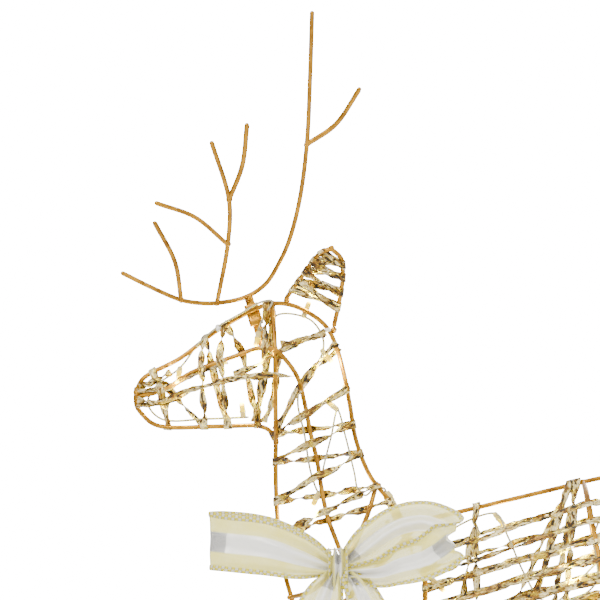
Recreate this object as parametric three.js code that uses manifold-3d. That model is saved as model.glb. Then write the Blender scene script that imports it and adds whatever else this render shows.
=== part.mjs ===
// A light-up yard reindeer: a welded wire frame wound with foil strips, with a string of lamps,
// a ribbon bow, antlers that plug into the head, a neck that plugs into the body and four legs
// that fold under the belly. Millimetres, +Z up, nose towards -X, the deer's left side is -Y.
// The origin is on the ground under the middle of the deer.
import * as THREE from "three";
import { mergeVertices } from "three/addons/utils/BufferGeometryUtils.js";
import Module from "manifold-3d";

// Stock that the deer is made from.
const WIRE_R = 2.1; // frame wire radius
const WIRE_SIDES = 6;
const ROUND_SIDES = 12; // sides of a bolt, bore or sleeve
const KNOB_SIDES = 10; // sides of a screw's knob or a connector
const SMALL_SIDES = 8; // sides of a screw or prong
const WIRE_STEP = 20; // length of one straight step of a bent wire
const GAP = 0.35; // clearance left between pieces that touch
const OVER = 1; // how far welded pieces run into each other, and a cut past the face it starts at
const STRIP_WIDTH = 6;
const STRIP_THICK = 0.5;
const SLACK = 0.5; // how loosely a strip lies round a wire
const CABLE_R = 1.0;
const LAMP_R = 2.5;
const LAMP_LENGTH = 8;
const HOLDER_R = 2.9;
const HOLDER_LENGTH = 7;

// Neck joint: two pins of the neck slide into two sleeves of the body.
const NECK_LEAN = THREE.MathUtils.degToRad(25);
const NECK_DOWN = new THREE.Vector3(Math.sin(NECK_LEAN), 0, -Math.cos(NECK_LEAN));
const THROAT_PIN = [-186, 664]; // x, z of the mouths of the sleeves
const NAPE_PIN = [-97, 754];
const SLEEVE_R = 4.4;
const SLEEVE_BORE_R = WIRE_R + 0.45;
const SLEEVE_LENGTH = 34;
const PIN_LENGTH = 30;
const PIN_ROOT = 2; // length of a pin inside the end of its wire
const SCREW_R = 2;
const KNOB_R = 6;
const KNOB_ENDS = [8, 12]; // distances of a thumbscrew's knob from the pin's axis
const SCREW_AT = 14; // distance of a thumbscrew below its sleeve's mouth

// Antler plug.
const PLUG_LEAN = THREE.MathUtils.degToRad(17);
const PLUG_UP = new THREE.Vector3(-Math.sin(PLUG_LEAN), 0, Math.cos(PLUG_LEAN));
const SOCKET_TOP = [-225.5, 937.5]; // x, z of the middle of the socket's mouth
const SOCKET_SIDE = 12.6;
const SOCKET_LENGTH = 20;
const SOCKET_BORE_R = 4.5;
const SOCKET_DEPTH = 17;
const STEM_R = 4;
const BROW_HALF = 8.9; // half the distance between the two brow wires
const RAIL_BAR = [-213.4, 898.3]; // x, z of the cross bar that the socket stands on
const RAIL_HALF = 30;
const FOOT_CLEAR = GAP + 0.4; // clearance between the socket's foot and that bar

// Legs.
const FRONT_PIVOT = [-52, 528];
const HIND_PIVOT = [228, 566];
const FRONT_LEG_Y = 46;
const HIND_LEG_Y = 62;
const BOLT_R = 3;
const LUG_R = 11;
const TAB_THICK = 3;
const FOOT_THICK = 3;
const FOOT_WIDTH = 10;
const FOOT_OVER = 4; // how much longer a foot is than the distance between its two wires

const COLOURS = {
  wire: { color: 0xa8691f, metalness: 0.7, roughness: 0.42 },
  strip: { color: 0xd8bd7c, metalness: 0.85, roughness: 0.28 },
  cable: { color: 0xe9e6d6, metalness: 0, roughness: 0.25 },
  holder: { color: 0xe7e2cf, metalness: 0, roughness: 0.4 },
  lamp: { color: 0xffe9a0, metalness: 0, roughness: 0.1 },
  ribbon: { color: 0xe6dcae, metalness: 0.1, roughness: 0.45 },
  zinc: { color: 0xb9bcc0, metalness: 0.9, roughness: 0.35 },
};

const wasm = await Module();
wasm.setup();

// ---------------------------------------------------------------------------------------------
// Shared helpers

const point = (x, y, z) => new THREE.Vector3(x, y, z);
const flat = (outline, y = 0) => outline.map(([x, z]) => point(x, y, z));
const along = (from, direction, distance) => from.clone().addScaledVector(direction, distance);

function curve(points) {
  return points.length > 2 ? new THREE.CatmullRomCurve3(points) : new THREE.LineCurve3(...points);
}

function disc(radius, sides) {
  const corners = [];
  for (let i = 0; i < sides; i++) {
    const angle = ((i + 0.5) / sides) * 2 * Math.PI;
    corners.push(new THREE.Vector2(radius * Math.cos(angle), radius * Math.sin(angle)));
  }
  return new THREE.Shape(corners);
}

// A round bar along a curve.
function bar(path, radius = WIRE_R, step = WIRE_STEP, sides = WIRE_SIDES) {
  const steps = path.isLineCurve3 ? 1 : Math.max(2, Math.round(path.getLength() / step));
  return new THREE.ExtrudeGeometry(disc(radius, sides), { steps, extrudePath: path });
}

function straightBar(from, to, radius = WIRE_R, sides = WIRE_SIDES) {
  return bar(curve([from, to]), radius, WIRE_STEP, sides);
}

function block(x, y, z, centre) {
  return new THREE.BoxGeometry(x, y, z).translate(centre.x, centre.y, centre.z);
}

const SAME_POINT = 1e-3; // corners closer than this are one corner

function solid(geometry) {
  const loose = geometry.index ? geometry.toNonIndexed() : geometry.clone();
  loose.deleteAttribute("normal");
  loose.deleteAttribute("uv");
  const whole = mergeVertices(loose, SAME_POINT);
  return new wasm.Manifold(
    new wasm.Mesh({
      numProp: 3,
      vertProperties: whole.attributes.position.array,
      triVerts: new Uint32Array(whole.index.array),
    }),
  );
}

function shape(whole) {
  const mesh = whole.getMesh();
  const geometry = new THREE.BufferGeometry();
  geometry.setAttribute("position", new THREE.BufferAttribute(mesh.vertProperties, 3));
  geometry.setIndex(new THREE.BufferAttribute(mesh.triVerts, 1));
  return geometry;
}

const weld = (geometries) => shape(geometries.map(solid).reduce((all, next) => all.add(next)));
const drill = (geometry, holes) =>
  shape(holes.map(solid).reduce((left, hole) => left.subtract(hole), solid(geometry)));

const root = new THREE.Group();

function piece(name, geometry, colour) {
  const mesh = new THREE.Mesh(geometry, new THREE.MeshStandardMaterial(COLOURS[colour]));
  mesh.name = name;
  root.add(mesh);
}

// ---------------------------------------------------------------------------------------------
// Strips. A strip is a flat band whose middle goes through stations, each with the direction that
// faces away from the frame (out) and the direction that the band's width lies in (across).

function band(stations) {
  const positions = [];
  for (const { at, out, across } of stations) {
    for (const [w, t] of [[-1, -1], [1, -1], [1, 1], [-1, 1]]) {
      const corner = at.clone();
      corner.addScaledVector(across, (w * STRIP_WIDTH) / 2);
      corner.addScaledVector(out, (t * STRIP_THICK) / 2);
      positions.push(...corner.toArray());
    }
  }
  const faces = [0, 1, 2, 0, 2, 3];
  for (let i = 0; i + 1 < stations.length; i++) {
    for (let k = 0; k < 4; k++) {
      const [a, b] = [4 * i + k, 4 * i + ((k + 1) % 4)];
      faces.push(a, a + 4, b + 4, a, b + 4, b);
    }
  }
  const last = 4 * (stations.length - 1);
  faces.push(last, last + 2, last + 1, last, last + 3, last + 2);
  const geometry = new THREE.BufferGeometry();
  geometry.setAttribute("position", new THREE.Float32BufferAttribute(positions, 3));
  geometry.setIndex(faces);
  return solid(geometry).volume() > 0 ? geometry : turnedOut(geometry);
}

function turnedOut(geometry) {
  const index = geometry.index.array;
  for (let i = 0; i < index.length; i += 3) {
    [index[i + 1], index[i + 2]] = [index[i + 2], index[i + 1]];
  }
  return geometry;
}

const LONG_SPAN = 60; // past this length a free span gets two more stations, to turn evenly

// Adds stations to long spans. Their width lies square to the span, and turns from one end's
// direction to the other's.
function eased(stations) {
  return stations.flatMap((from, i) => {
    const to = stations[i + 1];
    if (!to || from.at.distanceTo(to.at) < LONG_SPAN) return [from];
    const run = to.at.clone().sub(from.at).normalize();
    const between = [1 / 3, 2 / 3].map((share) => {
      const mixed = (key) => from[key].clone().lerp(to[key], share);
      const across = mixed("across").projectOnPlane(run).normalize();
      const out = across.clone().cross(run);
      if (out.dot(mixed("out")) < 0) out.negate();
      return { at: mixed("at"), out, across };
    });
    return [from, ...between];
  });
}

const SHARP_TURN = 1.3; // radians

// A strip wound over wires. Each stop is [wire, s]: the strip crosses that wire at s of its length.
// At a stop it turns round the outside of the wire, in one step or, where it turns sharply, two.
// hand is +1 or -1, the way round that the winding goes.
function winding(stops, hand, slack = SLACK) {
  const centres = stops.map(([wire, s]) => wire.getPointAt(s));
  const stations = [];
  stops.forEach(([wire, s], i) => {
    const across = wire.getTangentAt(s);
    const before = centres[i === 0 ? 1 : i - 1];
    const after = centres[i === stops.length - 1 ? i - 1 : i + 1];
    const incoming = centres[i].clone().sub(before).projectOnPlane(across).normalize();
    const outgoing = after.clone().sub(centres[i]).projectOnPlane(across).normalize();
    const outward = incoming.clone().sub(outgoing).normalize();
    const onward = across.clone().cross(outward).multiplyScalar(hand);
    const turn = incoming.angleTo(outgoing);
    const swings = turn > SHARP_TURN ? [-turn / 4, turn / 4] : [0];
    const clear = WIRE_R + GAP + STRIP_THICK / 2 + slack;
    const reach = clear / Math.cos(turn / (2 * swings.length));
    for (const swing of swings) {
      const out = outward.clone().multiplyScalar(Math.cos(swing));
      out.addScaledVector(onward, Math.sin(swing));
      stations.push({ at: along(centres[i], out, reach), out, across });
    }
  });
  return band(eased(stations));
}

// Even turns round two wires, from s = first to s = last of both.
function coil([a, b], turns, first, last) {
  const stops = [];
  for (let i = 0; i <= 2 * turns; i++) {
    stops.push([i % 2 ? b : a, first + ((last - first) * i) / (2 * turns)]);
  }
  return stops;
}

// ---------------------------------------------------------------------------------------------
// Head and neck

// The brow wires run side by side from the nose over the head to the nape.
const BROW = [
  [-328.6, 859, 6], [-322, 870.5, 7], [-289, 888.5, BROW_HALF], [-254.8, 914, BROW_HALF],
  [-215, 935.4, BROW_HALF], [-199, 938, BROW_HALF], [-181, 933.6, BROW_HALF],
  [-158.5, 918.3, BROW_HALF], [-148.6, 900, 7], [-142.3, 878, 4], [-138, 858, 1.2],
];
const NAPE = [[-139, 862], [-136, 846], [-130.6, 815], [-118, 783], [-100.5, 760], NAPE_PIN];
const JAW = [
  [-328.6, 861], [-328.2, 846], [-322.3, 837.3], [-314, 830], [-301.6, 826.5], [-262, 827],
  [-218.8, 828.3],
];
const THROAT = [
  [-220, 828.3], [-209, 824], [-203.5, 815], [-203, 797], [-202.6, 770], [-200.8, 738],
  [-195.4, 698], THROAT_PIN,
];
// The cheek wires: one each side, from the nose over the cheek and down the neck.
const CHEEK = [
  [-327, 853.5, 6], [-302.5, 860.7, 15], [-280, 875, 20], [-242.2, 889.5, 26],
  [-215.2, 898, 29], [-203.5, 895.8, 30], [-193.6, 886.8, 30], [-182.8, 870.6, 30],
  [-177.4, 850.8, 30], [-171.1, 819.3, 31], [-165.7, 796.8, 32], [-162.1, 774.3, 34],
  [-156.7, 747.3, 38], [-149, 726, 42], [-141, 706, 44],
];
// Half hoops, as x, half width, z from top to bottom.
const HEAD_HOOP = [
  [-205.6, BROW_HALF, 937], [-204.8, 22, 922], [-203.5, 30, 896], [-203.2, 28, 862],
  [-202.8, 15, 829], [-202.4, -1, 812],
];
const NECK_HOOP = [[-112, -1, 775], [-122, 28, 743], [-141, 44, 706], [-170, 28, 680], [-190, -1, 673]];

const NOSE_BAR = [-328, 857]; // x, z of the cross bar at the nose
const NOSE_HALF = 7;

const crossBar = ([x, z], half) => straightBar(point(x, -half, z), point(x, half, z));
const side3 = (outline, side) => outline.map(([x, z, half]) => point(x, side * half, z));
const hoop3 = (outline, side) => outline.map(([x, half, z]) => point(x, side * half, z));
const SIDES = { left: -1, right: 1 };

const nape = curve(flat(NAPE));
const jaw = curve(flat(JAW));
const throat = curve(flat(THROAT));
const brow = {};
const cheek = {};
for (const [name, side] of Object.entries(SIDES)) {
  brow[name] = curve(side3(BROW, side));
  cheek[name] = curve(side3(CHEEK, side));
}

function neckPin([x, z]) {
  const mouth = point(x, 0, z);
  return straightBar(along(mouth, NECK_DOWN, -PIN_ROOT), along(mouth, NECK_DOWN, PIN_LENGTH));
}

function headNeckFrame() {
  const bars = [bar(nape), bar(jaw), bar(throat), neckPin(THROAT_PIN), neckPin(NAPE_PIN)];
  for (const [name, side] of Object.entries(SIDES)) {
    bars.push(bar(brow[name]), bar(cheek[name]));
    bars.push(bar(curve(hoop3(HEAD_HOOP, side))), bar(curve(hoop3(NECK_HOOP, side))));
  }
  bars.push(crossBar(NOSE_BAR, NOSE_HALF), crossBar(RAIL_BAR, RAIL_HALF));
  return weld(bars);
}

piece("head_neck_frame", headNeckFrame(), "wire");

// ---------------------------------------------------------------------------------------------
// Ears: a teardrop loop each side, leaning outwards.

const EAR_FRONT = [[-193, 943.2, 10], [-181, 960, 19], [-163, 983, 31], [-152.2, 987.6, 34]];
const EAR_BACK = [
  [-150.2, 918.6, 10], [-145.5, 940.8, 19], [-142.4, 963.3, 26], [-144.1, 978.6, 31],
  [-153.5, 987.6, 34],
];
const LOOP_STEP = 12; // straight step of the small loops, the ears and the tail
const EAR_TURNS = 5;
const EAR_WOUND = [0.16, 0.8]; // where the winding starts and ends along an ear's wires

for (const [name, side] of Object.entries(SIDES)) {
  const front = curve(side3(EAR_FRONT, side));
  const back = curve(side3(EAR_BACK, side));
  piece(`ear_${name}`, weld([bar(front, WIRE_R, LOOP_STEP), bar(back, WIRE_R, LOOP_STEP)]), "wire");
  piece(`strip_ear_${name}`, winding(coil([front, back], EAR_TURNS, ...EAR_WOUND), -side), "strip");
}

// ---------------------------------------------------------------------------------------------
// Antlers: a socket block between the brow wires, a stem that plugs into it, and an antler welded
// to each side of the stem.

const socketTop = point(SOCKET_TOP[0], 0, SOCKET_TOP[1]);
const upright = new THREE.Quaternion().setFromUnitVectors(point(0, 0, 1), PLUG_UP);

function socket() {
  const middle = along(socketTop, PLUG_UP, -SOCKET_LENGTH / 2);
  const cube = new THREE.BoxGeometry(SOCKET_SIDE, SOCKET_SIDE, SOCKET_LENGTH);
  cube.applyQuaternion(upright).translate(...middle.toArray());
  const bottom = along(socketTop, PLUG_UP, -SOCKET_LENGTH + OVER);
  const barFoot = point(RAIL_BAR[0], 0, RAIL_BAR[1]);
  const footGap = along(barFoot, PLUG_UP, WIRE_R + FOOT_CLEAR);
  const bore = straightBar(
    along(socketTop, PLUG_UP, OVER),
    along(socketTop, PLUG_UP, -SOCKET_DEPTH),
    SOCKET_BORE_R,
    ROUND_SIDES,
  );
  return drill(weld([cube, straightBar(bottom, footGap, STEM_R, SMALL_SIDES)]), [bore]);
}

piece("antler_socket", socket(), "wire");

const STEM_TOP = 8; // height of the stem's top over the socket's mouth
const stemEnds = [GAP - SOCKET_DEPTH, STEM_TOP].map((height) => along(socketTop, PLUG_UP, height));
piece("antler_stem", straightBar(...stemEnds, STEM_R, ROUND_SIDES), "wire");

const BEAM = [
  [-340.3, 965], [-313, 951.5], [-288, 941], [-272, 938.3], [-255.7, 938.3], [-230.5, 943.5],
  [-212.5, 955], [-199, 976], [-190, 997], [-181, 1033], [-174.7, 1083], [-172, 1140], [-170.2, 1198],
];
const TINES = [
  [[-288, 941], [-293.5, 975], [-311.5, 1010]],
  [[-255.7, 938.3], [-245.8, 993], [-244.9, 1031], [-260.2, 1082]],
  [[-246.2, 991], [-275.5, 1015.5], [-309.7, 1028]],
  [[-244.9, 1031], [-233, 1062], [-228.7, 1098]],
  [[-174.9, 1081], [-149, 1099], [-127.9, 1130]],
];
const BEAM_Y = STEM_R + WIRE_R + GAP; // beam beside the stem
const SPREAD = 0.41; // sideways spread for each millimetre of height
const FRONT_SPREAD = 0.12; // and for each millimetre in front of the line that lies
const FRONT_FROM = 25; // this far in front of the socket
const ANTLER_STEP = 17;

function antler(side) {
  const spread = ([x, z]) => {
    const up = Math.max(0, z - SOCKET_TOP[1] - STEM_TOP);
    const ahead = Math.max(0, SOCKET_TOP[0] - FRONT_FROM - x);
    return point(x, side * (BEAM_Y + SPREAD * up + FRONT_SPREAD * ahead), z);
  };
  return weld([BEAM, ...TINES].map((outline) => bar(curve(outline.map(spread)), WIRE_R, ANTLER_STEP)));
}

for (const [name, side] of Object.entries(SIDES)) {
  piece(`antler_${name}`, antler(side), "wire");
}

// ---------------------------------------------------------------------------------------------
// Body

const SPINE = [
  [-83, 742.4], [-69.4, 743], [-50.5, 747.3], [-5, 758.1], [42, 769.4], [89, 780.6], [134, 789],
  [180, 794], [225, 795], [262, 789], [296, 772],
];
const CHEST_START = along(point(THROAT_PIN[0], 0, THROAT_PIN[1]), NECK_DOWN, SLEEVE_LENGTH + GAP);
const BELLY = [
  [CHEST_START.x, CHEST_START.z], [-158, 606], [-136, 578], [-104, 557], [-64, 547], [17, 548],
  [89, 561], [161, 580], [215, 590], [260, 588], [297, 602], [318, 640], [327, 690], [323, 735],
  [310, 762], [290, 778],
];
const FLANK = [
  [-141, 668, 47], [-106, 651, 64], [-68, 643, 75.5], [10, 652, 87], [98, 663, 94],
  [160, 673, 92], [212, 681, 87], [270, 692, 66], [306, 700, 34], [327, 706, 0],
];
const COLLAR_HOOP = [[-72, -1, 742.8], [-94, 36, 718], [-138, 48, 672], [-164, 26, 640], [-168, -1, 625]];
const SHOULDER_HOOP = [
  [-69.4, -1, 743], [-69, 38, 730], [-68.5, 68, 692], [-68, 76, 655], [-67, 68, 605],
  [-66, 46, 562], [-65, 22, 549], [-64, -1, 546.8],
];
const MIDDLE_HOOP = [
  [74, -1, 777], [77, 45, 766], [85, 82, 722], [92, 94, 690], [98, 94, 660], [106, 80, 612],
  [109, 46, 577], [110, -1, 566],
];
const HIP_HOOP = [
  [197, -1, 795], [199, 42, 784], [205, 76, 745], [211, 88, 700], [213, 86, 668], [219, 70, 622],
  [222, 42, 598], [224, -1, 590],
];

const spine = curve(flat(SPINE));
const belly = curve(flat(BELLY));
const flank = {};
const hoops = {};
for (const [name, side] of Object.entries(SIDES)) {
  flank[name] = curve(side3(FLANK, side));
  hoops[name] = {
    collar: curve(hoop3(COLLAR_HOOP, side)),
    shoulder: curve(hoop3(SHOULDER_HOOP, side)),
    middle: curve(hoop3(MIDDLE_HOOP, side)),
    hip: curve(hoop3(HIP_HOOP, side)),
  };
}

// A leg bracket: a tab that hangs from a hoop beside the leg, drilled for the hinge bolt, with a
// tongue over the leg's top bar that stops the leg when it stands upright. ahead is -1 on a front
// leg, whose top bar lies in front of its pivot, and +1 on a hind leg.
const FRONT = { pivot: FRONT_PIVOT, y: FRONT_LEG_Y, ahead: -1, tabTop: 560, tabWidth: 30 };
const HIND = { pivot: HIND_PIVOT, y: HIND_LEG_Y, ahead: 1, tabTop: 614, tabWidth: 28 };
const TAB_IN = WIRE_R + GAP; // distance of the tab's face from the leg's plane
const BAR_OVER = 9; // height of the leg's top bar over the pivot
const TONGUE = { length: 10, reach: 6, root: 1, thick: 3, ahead: 13 };

// A round bar along Y through a pivot: a bore, or the lug round it.
const hingeHole = ([x, z], y, length, radius) =>
  straightBar(point(x, y - length / 2, z), point(x, y + length / 2, z), radius, ROUND_SIDES);

function bracket({ pivot, y, ahead, tabTop, tabWidth }, side) {
  const [x, z] = pivot;
  const tabY = side * (y - TAB_IN - TAB_THICK / 2);
  const low = z - LUG_R;
  const tabX = x + ahead * (tabWidth / 2 - LUG_R);
  const tab = block(tabWidth, TAB_THICK, tabTop - low, point(tabX, tabY, (tabTop + low) / 2));
  const tongueZ = z + BAR_OVER + WIRE_R + GAP + TONGUE.thick / 2;
  const tongueY = side * (y - TAB_IN + TONGUE.reach / 2 - TONGUE.root / 2);
  const tongueAt = point(x + ahead * TONGUE.ahead, tongueY, tongueZ);
  const tongue = block(TONGUE.length, TONGUE.reach + TONGUE.root, TONGUE.thick, tongueAt);
  return drill(weld([tab, tongue]), [hingeHole(pivot, tabY, TAB_THICK + 2 * OVER, BOLT_R + GAP)]);
}

// Straight steps of the long wires.
const STEPS = { spine: 30, belly: 28, flank: 38, hoop: 27, leg: 34 };

function bodyFrame() {
  const bars = [bar(spine, WIRE_R, STEPS.spine), bar(belly, WIRE_R, STEPS.belly)];
  for (const [name, side] of Object.entries(SIDES)) {
    bars.push(bar(flank[name], WIRE_R, STEPS.flank));
    for (const hoop of Object.values(hoops[name])) {
      bars.push(bar(hoop, WIRE_R, STEPS.hoop));
    }
    bars.push(bracket(FRONT, side), bracket(HIND, side));
  }
  return weld(bars);
}

piece("body_frame", bodyFrame(), "wire");

// Tail: a short loop that stands out behind the rump.
const TAIL_TOP = [[310.4, 768.6], [321, 775.5], [332, 773], [337, 765], [337.86, 756]];
const TAIL_LOW = [[327.4, 737.6], [334, 741], [337.2, 749], [337.86, 758]];
const tailTop = curve(flat(TAIL_TOP));
const tailLow = curve(flat(TAIL_LOW));

// ---------------------------------------------------------------------------------------------
// Neck sleeves and their thumbscrews

// inward is +1 on the throat sleeve and -1 on the nape sleeve, so that both screws face each other.
const screwOut = (inward) => point(NECK_DOWN.z, 0, -NECK_DOWN.x).multiplyScalar(-inward);

function neckSleeve([x, z], inward) {
  const mouth = point(x, 0, z);
  const down = (distance) => along(mouth, NECK_DOWN, distance);
  const tube = straightBar(mouth, down(SLEEVE_LENGTH), SLEEVE_R, ROUND_SIDES);
  const bore = straightBar(down(-OVER), down(PIN_LENGTH + GAP), SLEEVE_BORE_R, ROUND_SIDES);
  const screwMiddle = down(SCREW_AT);
  const screwEnd = along(screwMiddle, screwOut(inward), KNOB_ENDS[0]);
  const screwHole = straightBar(screwMiddle, screwEnd, SCREW_R + GAP, SMALL_SIDES);
  return drill(tube, [bore, screwHole]);
}

function thumbscrew([x, z], inward) {
  const middle = along(point(x, 0, z), NECK_DOWN, SCREW_AT);
  const at = (reach) => along(middle, screwOut(inward), reach);
  return weld([
    straightBar(at(WIRE_R + GAP), at(KNOB_ENDS[0] + OVER), SCREW_R, SMALL_SIDES),
    straightBar(...KNOB_ENDS.map(at), KNOB_R, KNOB_SIDES),
  ]);
}

for (const [name, pin, inward] of [["throat", THROAT_PIN, 1], ["nape", NAPE_PIN, -1]]) {
  piece(`neck_sleeve_${name}`, neckSleeve(pin, inward), "wire");
  piece(`thumbscrew_${name}`, thumbscrew(pin, inward), "zinc");
}

// ---------------------------------------------------------------------------------------------
// Legs: a flat frame of two wires, a top bar with the hinge lug, and a foot bar.

const FRONT_LEG = {
  fore: [
    [-108, 537], [-107, 480], [-99, 410], [-94, 345], [-96, 305], [-90, 272], [-88, 200],
    [-87, 90], [-88, 36], [-96, 3],
  ],
  aft: [
    [-52, 528], [-56, 470], [-62, 400], [-67, 340], [-68, 300], [-67, 265], [-68, 200],
    [-67, 90], [-66, 36], [-60, 3],
  ],
};
const HIND_LEG = {
  fore: [
    [228, 566], [236, 505], [258, 430], [281, 368], [291, 328], [290, 290], [287, 200],
    [285, 90], [284, 36], [276, 3],
  ],
  aft: [
    [314, 575], [319, 520], [315, 440], [313, 385], [319, 345], [317, 318], [310, 285],
    [308, 200], [306, 90], [307, 36], [313, 3],
  ],
};
const FRONT_KNEE = 300; // heights of the two cross bars that stiffen a leg
const HIND_HOCK = 330;
const FETLOCK = 40;

const HALVINGS = 30;

// The point where a wire that runs downwards reaches a height.
const reachTo = (wire, z) => {
  let [low, high] = [0, 1];
  for (let i = 0; i < HALVINGS; i++) {
    const middle = (low + high) / 2;
    if (wire.getPointAt(middle).z > z) low = middle;
    else high = middle;
  }
  return wire.getPointAt(low);
};

function leg(outline, { pivot, y, ahead }, side, joints) {
  const wires = [curve(flat(outline.fore, side * y)), curve(flat(outline.aft, side * y))];
  const outer = ahead < 0 ? outline.fore[0] : outline.aft[0];
  const barZ = pivot[1] + BAR_OVER;
  const bars = wires.map((wire) => bar(wire, WIRE_R, STEPS.leg));
  bars.push(straightBar(point(outer[0], side * y, barZ), point(pivot[0], side * y, barZ)));
  for (const z of joints) {
    bars.push(straightBar(...wires.map((wire) => reachTo(wire, z))));
  }
  bars.push(hingeHole(pivot, side * y, 2 * WIRE_R, LUG_R));
  const toes = [outline.fore.at(-1)[0], outline.aft.at(-1)[0]];
  const footMiddle = point((toes[0] + toes[1]) / 2, side * y, FOOT_THICK / 2);
  bars.push(block(Math.abs(toes[1] - toes[0]) + FOOT_OVER, FOOT_WIDTH, FOOT_THICK, footMiddle));
  const hole = hingeHole(pivot, side * y, 4 * WIRE_R, BOLT_R + GAP);
  return { geometry: drill(weld(bars), [hole]), wires };
}

const BOLT_HEAD_R = 6;
const BOLT_HEAD_THICK = 2.5;
const BOLT_REACH = 15; // how far the bolt reaches inwards from the leg's plane

function hingeBolt({ pivot, y }, side) {
  const [x, z] = pivot;
  const at = (reach) => point(x, side * (y + reach), z);
  return weld([
    straightBar(at(TAB_IN), at(TAB_IN + BOLT_HEAD_THICK), BOLT_HEAD_R, ROUND_SIDES),
    straightBar(at(-BOLT_REACH), at(TAB_IN + OVER), BOLT_R, ROUND_SIDES),
  ]);
}

const NUT_R = 5.5;
const NUT_THICK = 5;
const NUT_WINGS = [24, 4, 2];
const WINGS_AT = 4.5; // distance of the wings' middle from the nut's face
const NUT_CUT = { middle: 3, length: 12 };

function wingNut({ pivot, y }, side) {
  const [x, z] = pivot;
  const face = TAB_IN + TAB_THICK + GAP;
  const at = (reach) => point(x, side * (y - reach), z);
  const body = straightBar(at(face), at(face + NUT_THICK), NUT_R, ROUND_SIDES);
  const wings = block(...NUT_WINGS, at(face + WINGS_AT));
  const cutY = side * (y - face - NUT_CUT.middle);
  return drill(weld([body, wings]), [hingeHole(pivot, cutY, NUT_CUT.length, BOLT_R + GAP)]);
}

const LEG_TURNS = 9;
const LEG_WOUND = [0.08, 0.89];
const LEG_SLACK = 1.5;
const legStrip = (wires) => winding(coil(wires, LEG_TURNS, ...LEG_WOUND), 1, LEG_SLACK);

for (const [name, side] of Object.entries(SIDES)) {
  const front = leg(FRONT_LEG, FRONT, side, [FRONT_KNEE, FETLOCK]);
  const hind = leg(HIND_LEG, HIND, side, [HIND_HOCK, FETLOCK]);
  piece(`leg_front_${name}`, front.geometry, "wire");
  piece(`leg_hind_${name}`, hind.geometry, "wire");
  piece(`hinge_bolt_front_${name}`, hingeBolt(FRONT, side), "zinc");
  piece(`hinge_bolt_hind_${name}`, hingeBolt(HIND, side), "zinc");
  piece(`wing_nut_front_${name}`, wingNut(FRONT, side), "zinc");
  piece(`wing_nut_hind_${name}`, wingNut(HIND, side), "zinc");
  piece(`strip_leg_front_${name}`, legStrip(front.wires), "strip");
  piece(`strip_leg_hind_${name}`, legStrip(hind.wires), "strip");
}

// ---------------------------------------------------------------------------------------------
// Strips of the head, neck, body and tail

const SHARE_STEP = 1 / 400;

// Where a wire reaches a height or a length along X, as a share of its length.
function shareAt(wire, axis, value) {
  let best = 0;
  for (let s = 0; s <= 1; s += SHARE_STEP) {
    if (Math.abs(wire.getPointAt(s)[axis] - value) < Math.abs(wire.getPointAt(best)[axis] - value)) {
      best = s;
    }
  }
  return best;
}

// Neck: the strip turns round the nape and the throat and crosses the cheek wires between them. One
// pass of each turn is steep and the other nearly level.
const NAPE_WRAPS = [858, 829, 803, 775];
const THROAT_WRAPS = [803, 786, 758, 726];
const CHEEK_MIX = [0.42, 0.58]; // how near the nape and the throat a pass crosses the cheek wire
const NECK_SLACK = 0.9;

function neckStrip() {
  const stops = [];
  NAPE_WRAPS.forEach((napeZ, i) => {
    const throatZ = THROAT_WRAPS[i];
    stops.push([nape, shareAt(nape, "z", napeZ)]);
    const crossing = (z) => z * CHEEK_MIX[0] + throatZ * CHEEK_MIX[1];
    stops.push([cheek.left, shareAt(cheek.left, "z", crossing(napeZ))]);
    stops.push([throat, shareAt(throat, "z", throatZ)]);
    const next = NAPE_WRAPS[i + 1];
    if (next) {
      stops.push([cheek.right, shareAt(cheek.right, "z", crossing(next))]);
    }
  });
  return winding(stops, 1, NECK_SLACK);
}

// Head: the strip turns round the brow wires and the jaw and crosses the cheek wires between them.
const BROW_WRAPS = [-313, -266, -248, -211];
const JAW_WRAPS = [-300, -267, -246, -223];
const BROW_LAG = 1; // how far behind the left brow wire the strip crosses the right one

function headStrip() {
  const stops = [];
  BROW_WRAPS.forEach((browX, i) => {
    const jawX = JAW_WRAPS[i];
    stops.push([brow.right, shareAt(brow.right, "x", browX - BROW_LAG)]);
    stops.push([brow.left, shareAt(brow.left, "x", browX)]);
    stops.push([cheek.left, shareAt(cheek.left, "x", (browX + jawX) / 2)]);
    stops.push([jaw, shareAt(jaw, "x", jawX)]);
    const next = BROW_WRAPS[i + 1];
    if (next) {
      stops.push([cheek.right, shareAt(cheek.right, "x", (next + jawX) / 2)]);
    }
  });
  return winding(stops, 1);
}

piece("strip_neck", neckStrip(), "strip");
piece("strip_head", headStrip(), "strip");

// Body: one strip each side runs to and fro between the shoulder hoop and the hip hoop, over the
// outside of the middle hoop on its way back and inside it on its way forward.
const BODY_RUNS = [722, 694, 622, 592];
const BODY_RISE = { middle: 22, hip: 40 }; // how much higher a run crosses those hoops
for (const [name, side] of Object.entries(SIDES)) {
  const { shoulder, middle, hip } = hoops[name];
  const stops = [];
  for (const z of BODY_RUNS) {
    stops.push([shoulder, shareAt(shoulder, "z", z)]);
    stops.push([middle, shareAt(middle, "z", z + BODY_RISE.middle)]);
    stops.push([hip, shareAt(hip, "z", z + BODY_RISE.hip)]);
  }
  piece(`strip_body_${name}`, winding(stops, side), "strip");
}

// Round the body: spine, left flank, belly, right flank.
const GIRTH_WRAPS = [-21, 66];
const GIRTH_SHIFT = { right: -40, left: -8, belly: -16 }; // places along X, from the spine's

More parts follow.
